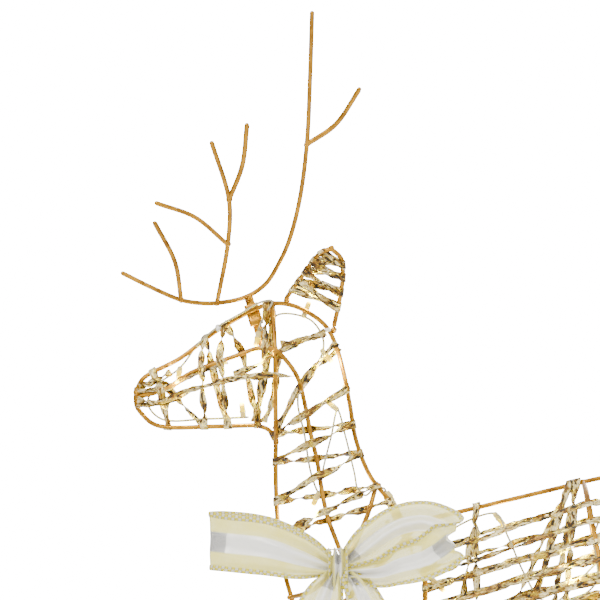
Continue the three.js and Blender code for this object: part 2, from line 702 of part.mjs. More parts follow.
function girthStrip() {
  const stops = [];
  for (const x of GIRTH_WRAPS) {
    stops.push([flank.right, shareAt(flank.right, "x", x + GIRTH_SHIFT.right)]);
    stops.push([spine, shareAt(spine, "x", x)]);
    stops.push([flank.left, shareAt(flank.left, "x", x + GIRTH_SHIFT.left)]);
    stops.push([belly, shareAt(belly, "x", x + GIRTH_SHIFT.belly)]);
  }
  return winding(stops, 1);
}
piece("strip_girth", girthStrip(), "strip");

const TAIL_TURNS = 3;
const TAIL_WOUND = [0.2, 0.8];
piece("tail_loop", weld([tailTop, tailLow].map((wire) => bar(wire, WIRE_R, LOOP_STEP))), "wire");
piece("strip_tail", winding(coil([tailTop, tailLow], TAIL_TURNS, ...TAIL_WOUND), 1), "strip");

// ---------------------------------------------------------------------------------------------
// Lamp string. It runs inside the frame, in one length for the head and neck and one for the body,
// joined by a plug and socket beside the nape sleeve, so that the neck lifts off with its own length.

const HEAD_ROUTE = [
  [-114, 9.5, 771], [-122, 9, 765], [-129, 5, 771], [-132, 2, 785], [-140, 5, 818], [-147, 3, 842],
  [-153, -15, 818], [-160, -26, 790],
  [-164, -29, 768], [-171, -26, 785], [-177, -24, 820], [-183, -24, 850], [-178, -20, 872],
  [-163, -10, 888], [-160, -4, 905], [-169, -4, 921], [-181, -3, 927], [-200, -3, 930],
  [-222, -14, 912], [-235, -5, 917], [-255, -4, 906], [-289, -4, 880], [-311, -3, 863],
  [-318, 0, 848], [-306, 2, 834], [-264, 3, 834], [-228, 3, 835.5],
];
const BODY_ROUTE = [
  [-81, 6, 717], [-76, -30, 700], [-62, -60, 690], [-57, -50, 716], [-40, -12, 737],
  [-6, -6, 749], [6, -36, 728], [21, -66, 694], [36, -78, 672], [62, -82, 672], [84, -79, 687],
  [84, -54, 733], [112, -10, 772], [152, -6, 782], [188, -28, 765], [204, -58, 735],
  [212, -72, 690], [240, -56, 640], [268, -20, 618], [280, 24, 636], [250, 54, 684],
  [205, 62, 724], [150, 54, 755], [96, 69.5, 712], [40, 70, 660], [-20, 62, 640], [-56, 50, 615],
  [-50, 30, 590], [-20, 12, 578], [60, 8, 574], [140, 9, 587], [180, 9, 596],
];
const CONNECTOR_R = 4.5;
const CONNECTOR_Y = SLEEVE_R + CONNECTOR_R + GAP;
const besideNape = (distance) => {
  return along(point(NAPE_PIN[0], CONNECTOR_Y, NAPE_PIN[1]), NECK_DOWN, distance);
};
const PRONG_R = 2;
const PRONG_LENGTH = 9;
const PRONG_ROOT = 2; // length of the prong inside the plug, and of the bore past the prong
const PRONG_CLEAR = GAP + 0.2;
const PLUG_ENDS = [-16, -1]; // distances below the mouth of the nape sleeve
const SOCKET_ENDS = [-1 + GAP, 21];

piece(
  "string_plug",
  weld([
    straightBar(...PLUG_ENDS.map(besideNape), CONNECTOR_R, KNOB_SIDES),
    straightBar(
      besideNape(PLUG_ENDS[1] - PRONG_ROOT),
      besideNape(PLUG_ENDS[1] + PRONG_LENGTH),
      PRONG_R,
      SMALL_SIDES,
    ),
  ]),
  "holder",
);
piece(
  "string_socket",
  drill(straightBar(...SOCKET_ENDS.map(besideNape), CONNECTOR_R, KNOB_SIDES), [
    straightBar(
      besideNape(SOCKET_ENDS[0] - OVER),
      besideNape(PRONG_LENGTH + PRONG_ROOT),
      PRONG_R + PRONG_CLEAR,
      SMALL_SIDES,
    ),
  ]),
  "holder",
);

// Each lamp: its place on the cable and the direction that it points in.
const HEAD_LAMPS = [
  [[-147, 3, 842], [-0.75, 0.2, 0.6]],
  [[-164, -29, 768], [-0.35, 0.55, -0.75]],
  [[-161.5, -7, 896], [0.6, -0.35, -0.7]],
  [[-178, -3, 925.5], [0.35, 0, 0.9]],
  [[-222, -14, 912], [-0.2, -0.5, -0.85]],
  [[-289, -4, 880], [-0.1, -0.75, -0.6]],
  [[-232, 3, 835.5], [-0.1, -0.5, 0.85]],
];
const BODY_LAMPS = [
  [[-62, -60, 690], [0.7, -0.1, -0.7]],
  [[-6, -6, 749], [0.6, 0.3, -0.75]],
  [[84, -79, 687], [-0.9, 0.1, 0.3]],
  [[212, -72, 690], [-0.9, 0.3, 0]],
  [[96, 69.5, 712], [-0.9, -0.3, 0.1]],
];

const CABLE_STEP = 13;
const LAMP_SIDES = 7;
let lampCount = 0;

// One length of cable and its lamps, each on a holder at the bend of the cable nearest to its place.
function lightCable(name, route, first, last, lamps) {
  const path = curve([...first, ...route.map(([x, y, z]) => point(x, y, z)), ...last]);
  const bends = path.getSpacedPoints(Math.round(path.getLength() / CABLE_STEP));
  const parts = [bar(path, CABLE_R, CABLE_STEP)];
  for (const [at, toward] of lamps) {
    const place = point(...at);
    const foot = bends.reduce((a, b) => (b.distanceTo(place) < a.distanceTo(place) ? b : a));
    const up = point(...toward).normalize();
    parts.push(straightBar(along(foot, up, -CABLE_R), along(foot, up, HOLDER_LENGTH), HOLDER_R));
    lampCount += 1;
    piece(`lamp_${String(lampCount).padStart(2, "0")}`, bulb(foot, up), "lamp");
  }
  piece(name, weld(parts), "cable");
}

function bulb(foot, up) {
  const profile = [
    [0, 0], [LAMP_R, 0], [LAMP_R, LAMP_LENGTH * 0.6], [LAMP_R * 0.7, LAMP_LENGTH * 0.9],
    [0, LAMP_LENGTH],
  ];
  const glass = new THREE.LatheGeometry(profile.map(([r, h]) => new THREE.Vector2(r, h)), LAMP_SIDES);
  const turn = new THREE.Quaternion().setFromUnitVectors(point(0, 1, 0), up);
  const base = along(foot, up, HOLDER_LENGTH + GAP);
  return glass.applyQuaternion(turn).translate(...base.toArray());
}

// The cable leaves each connector straight, for this far.
const STRAIGHT = { plug: 3, socket: 8 };
const plugTop = [besideNape(PLUG_ENDS[0] - GAP), besideNape(PLUG_ENDS[0] - STRAIGHT.plug)];
lightCable("light_cable_head", HEAD_ROUTE, plugTop, [], HEAD_LAMPS);

const INLET_START = point(190, 9, 598);
const INLET_END = point(212, 9, 602.5);
const socketFoot = [
  besideNape(SOCKET_ENDS[1] + GAP),
  besideNape(SOCKET_ENDS[1] + STRAIGHT.socket),
];
const beforeInlet = INLET_START.clone().lerp(INLET_END, -GAP / (INLET_END.x - INLET_START.x));
lightCable("light_cable_body", BODY_ROUTE, socketFoot, [beforeInlet], BODY_LAMPS);
piece("string_inlet", straightBar(INLET_START, INLET_END, CONNECTOR_R, KNOB_SIDES), "holder");

// ---------------------------------------------------------------------------------------------
// Bow, at the left of the foot of the neck: plain solids that hold the space of the ribbon's loops
// and tails, a knot, and the wire tie that holds the knot to the cheek wire.

const BOW_FRONT = -90; // y of the face of the bow that looks away from the deer
const BOW_DEPTH = 24;
const TAIL_DEPTH = 10;
const TAIL_FRONT = BOW_FRONT + 4;
const BOW_LOOPS = {
  left: [[-160, 713], [-200, 744], [-240, 751], [-262, 745], [-264, 716], [-240, 699], [-160, 688]],
  right: [[-133, 714], [-104, 745], [-78, 757], [-48, 752], [-34, 736], [-37, 705], [-60, 690], [-133, 687]],
};
const BOW_TAILS = {
  left: [[-160, 682], [-208, 666], [-215, 640], [-196, 610], [-160, 640], [-149, 682]],
  right: [[-143, 682], [-140, 640], [-112, 604], [-96, 628], [-104, 664], [-133, 682]],
};
const KNOT = point(-146.8, -77, 700);
const KNOT_SIZE = [22, 26, 34];
const RIGHT_LEAN = 0.2; // how far the right loop leans out, to clear the shoulder

// A slab of one outline. Past leanFrom along X it leans out, away from the deer.
function bowPart(outline, depth, front, leanFrom) {
  const corners = outline.map(([x, z]) => new THREE.Vector2(x, z));
  const geometry = new THREE.ExtrudeGeometry(new THREE.Shape(corners), { depth, bevelEnabled: false });
  geometry.rotateX(Math.PI / 2).translate(0, front + depth, 0);
  const places = geometry.attributes.position;
  for (let i = 0; i < places.count; i++) {
    const beyond = Math.max(0, places.getX(i) - leanFrom);
    places.setY(i, places.getY(i) - RIGHT_LEAN * beyond);
  }
  return geometry;
}

piece("bow_loop_left", bowPart(BOW_LOOPS.left, BOW_DEPTH, BOW_FRONT, Infinity), "ribbon");
piece("bow_loop_right", bowPart(BOW_LOOPS.right, BOW_DEPTH, BOW_FRONT, KNOT.x), "ribbon");
piece("bow_tail_left", bowPart(BOW_TAILS.left, TAIL_DEPTH, TAIL_FRONT, Infinity), "ribbon");
piece("bow_tail_right", bowPart(BOW_TAILS.right, TAIL_DEPTH, TAIL_FRONT, KNOT.x), "ribbon");
piece("bow_knot", block(...KNOT_SIZE, KNOT), "ribbon");

const TIE_R = 0.7;
const TIE_SIDES = 6;
const TIE_RING_R = 12;
const TIE_STEPS = 14;
const TIE_AT = point(KNOT.x, -50.8, 717);

function bowTie() {
  const profile = [];
  for (let i = 0; i < TIE_SIDES; i++) {
    const angle = (i / TIE_SIDES) * 2 * Math.PI;
    profile.push(new THREE.Vector2(TIE_RING_R + TIE_R * Math.cos(angle), TIE_R * Math.sin(angle)));
  }
  const ring = new THREE.LatheGeometry([...profile, profile[0].clone()], TIE_STEPS);
  return ring.rotateX(Math.PI / 2).translate(...TIE_AT.toArray());
}
piece("bow_tie", bowTie(), "wire");

export default root;
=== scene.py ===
"""Looks of a light-up yard reindeer: bronze-gold wire, twisted foil strips, a string of lamps and a
sheer ribbon bow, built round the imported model. Metres, +Z up, nose towards -X, left side -Y."""

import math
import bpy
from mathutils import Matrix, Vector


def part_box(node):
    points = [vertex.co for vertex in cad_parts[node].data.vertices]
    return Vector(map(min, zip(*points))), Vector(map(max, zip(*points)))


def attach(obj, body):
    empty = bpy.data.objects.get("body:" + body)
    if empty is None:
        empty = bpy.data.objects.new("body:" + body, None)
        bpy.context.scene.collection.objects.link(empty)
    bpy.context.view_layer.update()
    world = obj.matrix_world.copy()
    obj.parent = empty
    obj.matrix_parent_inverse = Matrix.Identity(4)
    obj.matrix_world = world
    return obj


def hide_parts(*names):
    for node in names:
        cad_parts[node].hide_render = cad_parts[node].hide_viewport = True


bl_info = {
    "name": "Light Up Yard Reindeer",
    "version": (1, 0, 0),
    "blender": (4, 5, 0),
    "location": "View3D > Sidebar > Reindeer",
    "description": "Builds the wires, foil strips, lamp string and bow of a yard reindeer",
    "category": "Add Mesh",
}

import bpy
import numpy as np
from mathutils import Vector

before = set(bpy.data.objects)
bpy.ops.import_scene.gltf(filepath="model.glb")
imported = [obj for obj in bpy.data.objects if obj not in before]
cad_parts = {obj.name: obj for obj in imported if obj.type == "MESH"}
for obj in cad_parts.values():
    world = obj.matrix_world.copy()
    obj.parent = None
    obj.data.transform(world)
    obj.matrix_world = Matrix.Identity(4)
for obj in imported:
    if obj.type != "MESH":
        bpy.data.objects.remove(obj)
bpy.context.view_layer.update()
MM = 0.001
LEFT, RIGHT = -1, 1
SIDES = {"left": LEFT, "right": RIGHT}


# --- Lines: the middles of the wires -----------------------------------------------------------


def smooth_rows(rows, step):
    """Centripetal Catmull-Rom curve through rows, then resampled to equal steps of its length.
    The first three columns are a place, and any others are carried along with it."""
    rows = np.asarray(rows, float)
    if len(rows) > 2:
        ends = np.vstack([2 * rows[0] - rows[1], rows, 2 * rows[-1] - rows[-2]])
        gap = np.sqrt(np.linalg.norm(np.diff(ends[:, :3], axis=0), axis=1))[:, None]
        x0, x1, x2, x3 = ends[:-3], ends[1:-2], ends[2:-1], ends[3:]
        d0, d1, d2 = gap[:-2], gap[1:-1], gap[2:]
        m1 = ((x1 - x0) / d0 - (x2 - x0) / (d0 + d1) + (x2 - x1) / d1) * d1
        m2 = ((x2 - x1) / d1 - (x3 - x1) / (d1 + d2) + (x3 - x2) / d2) * d1
        t = np.linspace(0, 1, 24)[:, None, None]
        cubic = 2 * x1 - 2 * x2 + m1 + m2
        square = -3 * x1 + 3 * x2 - 2 * m1 - m2
        rows = (x1 + t * (m1 + t * (square + t * cubic))).transpose(1, 0, 2)
        rows = rows.reshape(-1, ends.shape[1])
    run = np.linalg.norm(np.diff(rows[:, :3], axis=0), axis=1)
    run = np.concatenate([[0], np.cumsum(run)])
    even = np.linspace(0, run[-1], max(2, int(round(run[-1] / step)) + 1))
    return np.stack([np.interp(even, run, column) for column in rows.T], axis=1)


def line(points, step=3.0):
    """A wire's middle, from points in millimetres to evenly spaced places in metres."""
    return smooth_rows(np.asarray(points, float), step) * MM


def plane_line(pairs, y=0.0, step=3.0):
    """A wire in the plane y, from its x and z."""
    return line([(x, y, z) for x, z in pairs], step)


def outline_line(triples, side, step=3.0):
    """A wire given by x, z and its distance from the middle plane, on one side."""
    return line([(x, side * half, z) for x, z, half in triples], step)


def hoop_line(triples, side, step=3.0):
    """Half a hoop given by x, its distance from the middle plane and z, on one side."""
    return line([(x, side * half, z) for x, half, z in triples], step)


LEAN = math.radians(25)
NECK_DOWN = np.array([math.sin(LEAN), 0, -math.cos(LEAN)])
THROAT_PIN = np.array([-186.0, 0, 664])
NAPE_PIN = np.array([-97.0, 0, 754])
PLUG_LEAN = math.radians(17)
PLUG_UP = np.array([-math.sin(PLUG_LEAN), 0, math.cos(PLUG_LEAN)])
SOCKET_TOP = np.array([-225.5, 0, 937.5])
BROW_HALF = 8.9
RAIL_BAR = (-213.4, 898.3)

BROW = [
    (-328.6, 859, 6), (-322, 870.5, 7), (-289, 888.5, BROW_HALF), (-254.8, 914, BROW_HALF),
    (-215, 935.4, BROW_HALF), (-199, 938, BROW_HALF), (-181, 933.6, BROW_HALF),
    (-158.5, 918.3, BROW_HALF), (-148.6, 900, 7), (-142.3, 878, 4), (-138, 858, 1.2),
]
NAPE = [(-139, 862), (-136, 846), (-130.6, 815), (-118, 783), (-100.5, 760), (-97, 754)]
JAW = [
    (-328.6, 861), (-328.2, 846), (-322.3, 837.3), (-314, 830), (-301.6, 826.5), (-262, 827),
    (-218.8, 828.3),
]
THROAT = [
    (-220, 828.3), (-209, 824), (-203.5, 815), (-203, 797), (-202.6, 770), (-200.8, 738),
    (-195.4, 698), (-186, 664),
]
CHEEK = [
    (-327, 853.5, 6), (-302.5, 860.7, 15), (-280, 875, 20), (-242.2, 889.5, 26),
    (-215.2, 898, 29), (-203.5, 895.8, 30), (-193.6, 886.8, 30), (-182.8, 870.6, 30),
    (-177.4, 850.8, 30), (-171.1, 819.3, 31), (-165.7, 796.8, 32), (-162.1, 774.3, 34),
    (-156.7, 747.3, 38), (-149, 726, 42), (-141, 706, 44),
]
HEAD_HOOP = [
    (-205.6, BROW_HALF, 937), (-204.8, 22, 922), (-203.5, 30, 896), (-203.2, 28, 862),
    (-202.8, 15, 829), (-202.4, -1, 812),
]
NECK_HOOP = [(-112, -1, 775), (-122, 28, 743), (-141, 44, 706), (-170, 28, 680), (-190, -1, 673)]
EAR_FRONT = [(-193, 943.2, 10), (-181, 960, 19), (-163, 983, 31), (-152.2, 987.6, 34)]
EAR_BACK = [
    (-150.2, 918.6, 10), (-145.5, 940.8, 19), (-142.4, 963.3, 26), (-144.1, 978.6, 31),
    (-153.5, 987.6, 34),
]
BEAM = [
    (-340.3, 965), (-313, 951.5), (-288, 941), (-272, 938.3), (-255.7, 938.3), (-230.5, 943.5),
    (-212.5, 955), (-199, 976), (-190, 997), (-181, 1033), (-174.7, 1083), (-172, 1140),
    (-170.2, 1198),
]
TINES = [
    [(-288, 941), (-293.5, 975), (-311.5, 1010)],
    [(-255.7, 938.3), (-245.8, 993), (-244.9, 1031), (-260.2, 1082)],
    [(-246.2, 991), (-275.5, 1015.5), (-309.7, 1028)],
    [(-244.9, 1031), (-233, 1062), (-228.7, 1098)],
    [(-174.9, 1081), (-149, 1099), (-127.9, 1130)],
]
SPINE = [
    (-83, 742.4), (-69.4, 743), (-50.5, 747.3), (-5, 758.1), (42, 769.4), (89, 780.6),
    (134, 789), (180, 794), (225, 795), (262, 789), (296, 772),
]
BELLY = [
    (-171.5, 632.9), (-158, 606), (-136, 578), (-104, 557), (-64, 547), (17, 548), (89, 561),
    (161, 580), (215, 590), (260, 588), (297, 602), (318, 640), (327, 690), (323, 735),
    (310, 762), (290, 778),
]
FLANK = [
    (-141, 668, 47), (-106, 651, 64), (-68, 643, 75.5), (10, 652, 87), (98, 663, 94),
    (160, 673, 92), (212, 681, 87), (270, 692, 66), (306, 700, 34), (327, 706, 0),
]
HOOPS = {
    "collar": [(-72, -1, 742.8), (-94, 36, 718), (-138, 48, 672), (-164, 26, 640), (-168, -1, 625)],
    "shoulder": [
        (-69.4, -1, 743), (-69, 38, 730), (-68.5, 68, 692), (-68, 76, 655), (-67, 68, 605),
        (-66, 46, 562), (-65, 22, 549), (-64, -1, 546.8),
    ],
    "middle": [
        (74, -1, 777), (77, 45, 766), (85, 82, 722), (92, 94, 690), (98, 94, 660),
        (106, 80, 612), (109, 46, 577), (110, -1, 566),
    ],
    "hip": [
        (197, -1, 795), (199, 42, 784), (205, 76, 745), (211, 88, 700), (213, 86, 668),
        (219, 70, 622), (222, 42, 598), (224, -1, 590),
    ],
}
TAIL_TOP = [(310.4, 768.6), (321, 775.5), (332, 773), (337, 765), (337.9, 756)]
TAIL_LOW = [(327.4, 737.6), (334, 741), (337.2, 749), (337.9, 758)]
LEGS = {
    "front": {
        "pivot": (-52, 528), "y": 46, "ahead": -1, "tab_top": 560, "tab_width": 30,
        "bars": (300, 40), "top": (-108, -52),
        "fore": [
            (-108, 537), (-107, 480), (-99, 410), (-94, 345), (-96, 305), (-90, 272), (-88, 200),
            (-87, 90), (-88, 36), (-96, 3),
        ],
        "aft": [
            (-52, 528), (-56, 470), (-62, 400), (-67, 340), (-68, 300), (-67, 265), (-68, 200),
            (-67, 90), (-66, 36), (-60, 3),
        ],
    },
    "hind": {
        "pivot": (228, 566), "y": 62, "ahead": 1, "tab_top": 614, "tab_width": 28,
        "bars": (330, 40), "top": (228, 314),
        "fore": [
            (228, 566), (236, 505), (258, 430), (281, 368), (291, 328), (290, 290), (287, 200),
            (285, 90), (284, 36), (276, 3),
        ],
        "aft": [
            (314, 575), (319, 520), (315, 440), (313, 385), (319, 345), (317, 318), (310, 285),
            (308, 200), (306, 90), (307, 36), (313, 3),
        ],
    },
}


def deer_lines():
    """The middle of every wire that a strip is wound on or that is bent, by name."""
    lines = {
        "nape": plane_line(NAPE), "jaw": plane_line(JAW), "throat": plane_line(THROAT),
        "spine": plane_line(SPINE), "belly": plane_line(BELLY),
        "tail_top": plane_line(TAIL_TOP, step=2), "tail_low": plane_line(TAIL_LOW, step=2),
    }
    for name, side in SIDES.items():
        lines["brow_" + name] = outline_line(BROW, side)
        lines["cheek_" + name] = outline_line(CHEEK, side)
        lines["head_hoop_" + name] = hoop_line(HEAD_HOOP, side)
        lines["neck_hoop_" + name] = hoop_line(NECK_HOOP, side)
        lines["ear_front_" + name] = outline_line(EAR_FRONT, side, 2)
        lines["ear_back_" + name] = outline_line(EAR_BACK, side, 2)
        lines["flank_" + name] = outline_line(FLANK, side)
        for hoop, triples in HOOPS.items():
            lines[f"{hoop}_{name}"] = hoop_line(triples, side)
        for end, leg in LEGS.items():
            for wire in ("fore", "aft"):
                lines[f"{end}_{wire}_{name}"] = plane_line(leg[wire], side * leg["y"])
    return lines


LINES = deer_lines()
AXES = {"x": 0, "y": 1, "z": 2}


def place_on(name, axis, value):
    """The number of a line's place that is nearest to a value, in millimetres, along an axis, or at
    a share of its length."""
    path = LINES[name]
    if axis == "share":
        return int(round(value * (len(path) - 1)))
    return int(np.argmin(np.abs(path[:, AXES[axis]] - value * MM)))


# --- Surfaces: each is (places, faces, end faces, pattern places) -------------------------------

ANY_PHASE = (0, 6.28)
PEBBLE_RINGS = 9
PEBBLE_SIDES = 12
PEBBLE_CAP = 0.12
BLOCK_SIDES = 16
EASED = 0.4
EASED_SHARE = 0.94


def unit(vectors):
    """Vectors over their lengths."""
    vectors = np.asarray(vectors, float)
    return vectors / np.maximum(np.linalg.norm(vectors, axis=-1, keepdims=True), 1e-12)


def dot(a, b):
    """Row by row scalar product, kept as a column."""
    return (a * b).sum(axis=-1, keepdims=True)


def frames(path):
    """Tangent, normal and side at each place of a path. The normal starts from the direction that
    the path spreads least in. Its turn from place to place, beyond the smallest turn that carries
    one tangent to the next, is summed and taken out, so that the surface round the path isn't
    twisted."""
    tangent = unit(np.gradient(path, axis=0))
    least = np.linalg.svd(path - path.mean(axis=0))[2][2]
    normal = unit(least - dot(tangent, least) * tangent)
    side = np.cross(tangent, normal)
    hinge = np.cross(tangent[:-1], tangent[1:])
    cosine = dot(tangent[:-1], tangent[1:])
    carried = normal[:-1] * cosine + np.cross(hinge, normal[:-1])
    carried += hinge * dot(hinge, normal[:-1]) / (1 + cosine)
    lag = np.arctan2(dot(np.cross(carried, normal[1:]), tangent[1:]), dot(carried, normal[1:]))
    turn = -np.concatenate([[[0.0]], np.cumsum(lag, axis=0)])
    return (
        tangent,
        normal * np.cos(turn) + side * np.sin(turn),
        side * np.cos(turn) - normal * np.sin(turn),
    )


def skin(rings, pattern=None, loop=False):
    """Joins rings of places, each closed round, to the next ring, and closes both ends with a flat
    face, or the last ring to the first where loop is true."""
    count, sides = rings.shape[:2]
    index = np.arange(count * sides).reshape(count, sides)
    if loop:
        index = np.vstack([index, index[:1]])
    onward = np.roll(index, -1, axis=1)
    quads = np.stack([index[:-1], onward[:-1], onward[1:], index[1:]], axis=-1).reshape(-1, 4)
    ends = [] if loop else [index[0][::-1].tolist(), index[-1].tolist()]
    if pattern is None:
        pattern = np.zeros((count, sides, 2))
    return rings.reshape(-1, 3), quads, ends, pattern.reshape(-1, 2)


def tube(path, radius, sides=12):
    """A circle carried along a path: place = path + radius (cos a normal + sin a side). Four more
    rings at each end shrink as a quarter circle does, so that the wire's ends are round."""
    path = np.asarray(path, float)
    tangent, normal, side = frames(path)
    radius = np.broadcast_to(np.asarray(radius, float), len(path))[:, None]
    bend = np.radians([80, 55, 30, 10])[:, None]
    first = path[0] - tangent[0] * radius[0] * np.sin(bend)
    last = path[-1] + tangent[-1] * radius[-1] * np.sin(bend[::-1])
    middle = np.vstack([first, path, last])
    width = np.vstack([radius[0] * np.cos(bend), radius, radius[-1] * np.cos(bend[::-1])])
    four = np.ones((4, 1))
    normal = np.vstack([normal[0] * four, normal, normal[-1] * four])
    side = np.vstack([side[0] * four, side, side[-1] * four])
    angle = np.linspace(0, 2 * np.pi, sides, endpoint=False)[None, :, None]
    round_it = np.cos(angle) * normal[:, None] + np.sin(angle) * side[:, None]
    rings = middle[:, None] + width[:, None] * round_it
    run = np.linalg.norm(np.diff(middle, axis=0), axis=1)
    run = np.concatenate([[0], np.cumsum(run)])
    pattern = np.stack(np.broadcast_arrays(run[:, None], angle[..., 0] / (2 * np.pi)), axis=-1)
    return skin(rings, pattern)


def rod(start, end, radius, sides=12):
    """A straight round bar between two places in millimetres."""
    return tube(np.linspace(start, end, 3) * MM, radius, sides)


def turned(profile, base, up, sides=24, loop=False, reach=None, across=None, angles=None):
    """A profile of radius and height, in millimetres, turned about an axis: place = base +
    height up + radius (cos a across + sin a side), with the radius multiplied by
    1 + k (reach(a) - 1). k is a profile's third number, and 1 where it has none. reach gives a
    square or six-sided piece its corners."""
    profile = np.array([tuple(row) + (1,) * (3 - len(row)) for row in profile], float)
    up = unit(up)
    across = unit(np.cross(up, [0.31, 0.87, 0.4])) if across is None else np.asarray(across, float)
    across = unit(across - (across @ up) * up)
    side = np.cross(up, across)
    angle = np.linspace(0, 2 * np.pi, sides, endpoint=False) if angles is None else angles
    scale = np.ones_like(angle) if reach is None else reach(angle)
    radius = profile[:, :1] * (1 + profile[:, 2:] * (scale - 1)) * MM
    ray = np.cos(angle)[:, None] * across + np.sin(angle)[:, None] * side
    rings = np.asarray(base, float) * MM + profile[:, 1, None, None] * MM * up
    return skin(rings + radius[..., None] * ray, loop=loop)


def box_reach(low_x, high_x, low_z, high_z):
    """The distance from an axis to the edge of a box round it: the least of the distances to its
    four sides along the ray at angle a."""

    def reach(angle):
        cosine, sine = np.cos(angle), np.sin(angle)
        cosine = np.where(np.abs(cosine) < 1e-9, 1e-9, cosine)
        sine = np.where(np.abs(sine) < 1e-9, 1e-9, sine)
        along = np.where(cosine > 0, high_x / cosine, low_x / cosine)
        upward = np.where(sine > 0, high_z / sine, low_z / sine)
        return np.minimum(along, upward)

    return reach


def squared(power):
    """A square with rounded corners, 1 at the middle of each side: the superellipse
    (cos^p a + sin^p a)^(-1/p)."""
    return lambda a: (np.abs(np.cos(a)) ** power + np.abs(np.sin(a)) ** power) ** (-1 / power)


def six_sided(angle):
    """A hexagon, 1 at the middle of each side: 1 / cos of the angle from the nearest side."""
    return 1 / np.cos((angle + np.pi / 6) % (np.pi / 3) - np.pi / 6)


def pebble(centre, halves, wave=0.0, seed=0):
    """A ball stretched to half sizes in millimetres, its radius times 1 + wave of slow waves."""
    rng = np.random.default_rng(seed)
    polar = np.linspace(PEBBLE_CAP, np.pi - PEBBLE_CAP, PEBBLE_RINGS)[:, None]
    angle = np.linspace(0, 2 * np.pi, PEBBLE_SIDES, endpoint=False)[None]
    phase = rng.uniform(*ANY_PHASE, 3)
    lumps = np.sin(2 * angle + phase[0]) * np.sin(polar) + np.sin(3 * polar + phase[1])
    lumps = lumps + np.sin(angle - 2 * polar + phase[2]) * np.sin(polar)
    ball = [np.sin(polar) * np.cos(angle), np.sin(polar) * np.sin(angle), -np.cos(polar)]
    ball = np.stack(np.broadcast_arrays(*ball), axis=-1) * (1 + wave * lumps[..., None])
    return skin((np.asarray(centre, float) + np.asarray(halves, float) * ball) * MM)


def weld_beads(places, size=2.9):
    """Lumps of weld at places in millimetres."""
    return [pebble(at, [size] * 3, 0.09, seed) for seed, at in enumerate(places)]


def both_sides(places):
    """Each place and its mirror image across the deer's middle plane."""
    return [(x, side * y, z) for x, y, z in places for side in (LEFT, RIGHT)]


def block(centre, size):
    """A block with eased edges: a box outline carried up, a little smaller at its two faces."""
    x, y, z = size
    corner = math.atan2(y, x)
    corners = [corner, math.pi - corner, math.pi + corner, 2 * math.pi - corner]
    even = np.linspace(0, 2 * np.pi, BLOCK_SIDES, endpoint=False)
    angles = np.sort(np.concatenate([even, corners]))
    profile = [(EASED_SHARE, 0), (1, EASED), (1, z - EASED), (EASED_SHARE, z)]
    base = np.asarray(centre, float) - (0, 0, z / 2)
    reach = box_reach(-x / 2, x / 2, -y / 2, y / 2)
    return turned(profile, base, (0, 0, 1), reach=reach, across=(1, 0, 0), angles=angles)


def make_piece(name, parts, material, body, replaces=(), sharp=50):
    """Puts surfaces into one mesh with their pattern places as its UV map, smooth but for edges
    sharper than an angle, parents it to its body's empty and hides the model's parts that it stands
    for."""
    places, faces, pattern, start = [], [], [], 0
    for part_places, quads, ends, part_pattern in parts:
        places.append(part_places)
        pattern.append(part_pattern)
        faces += (quads + start).tolist()
        faces += [[corner + start for corner in end] for end in ends]
        start += len(part_places)
    mesh = bpy.data.meshes.new(name)
    mesh.from_pydata(np.vstack(places).tolist(), [], faces)
    corners = np.zeros(len(mesh.loops), dtype=np.int32)
    mesh.loops.foreach_get("vertex_index", corners)
    layer = mesh.uv_layers.new(name="UVMap")
    layer.data.foreach_set("uv", np.vstack(pattern)[corners].astype(np.float32).ravel())
    mesh.polygons.foreach_set("use_smooth", np.ones(len(mesh.polygons), dtype=bool))
    mesh.set_sharp_from_angle(angle=math.radians(sharp))
    mesh.materials.append(material)
    piece = bpy.data.objects.new(name, mesh)
    bpy.context.scene.collection.objects.link(piece)
    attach(piece, body)
    if replaces:
        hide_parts(*replaces)
    return piece


# --- Foil strips --------------------------------------------------------------------------------


def blur(rows, times=2):
    """Each row but the ends becomes a quarter of the row before, half of itself and a quarter of
    the row after."""
    for _ in range(times):
        middle = (rows[:-2] + 2 * rows[1:-1] + rows[2:]) / 4
        rows = np.vstack([rows[:1], middle, rows[-1:]])
    return rows


TURN_EVERY = 0.055
SHORTEST_TURNED = 0.018
EASE = 0.75
ARC_PLACES = 7
LAID_STEP = 1.6


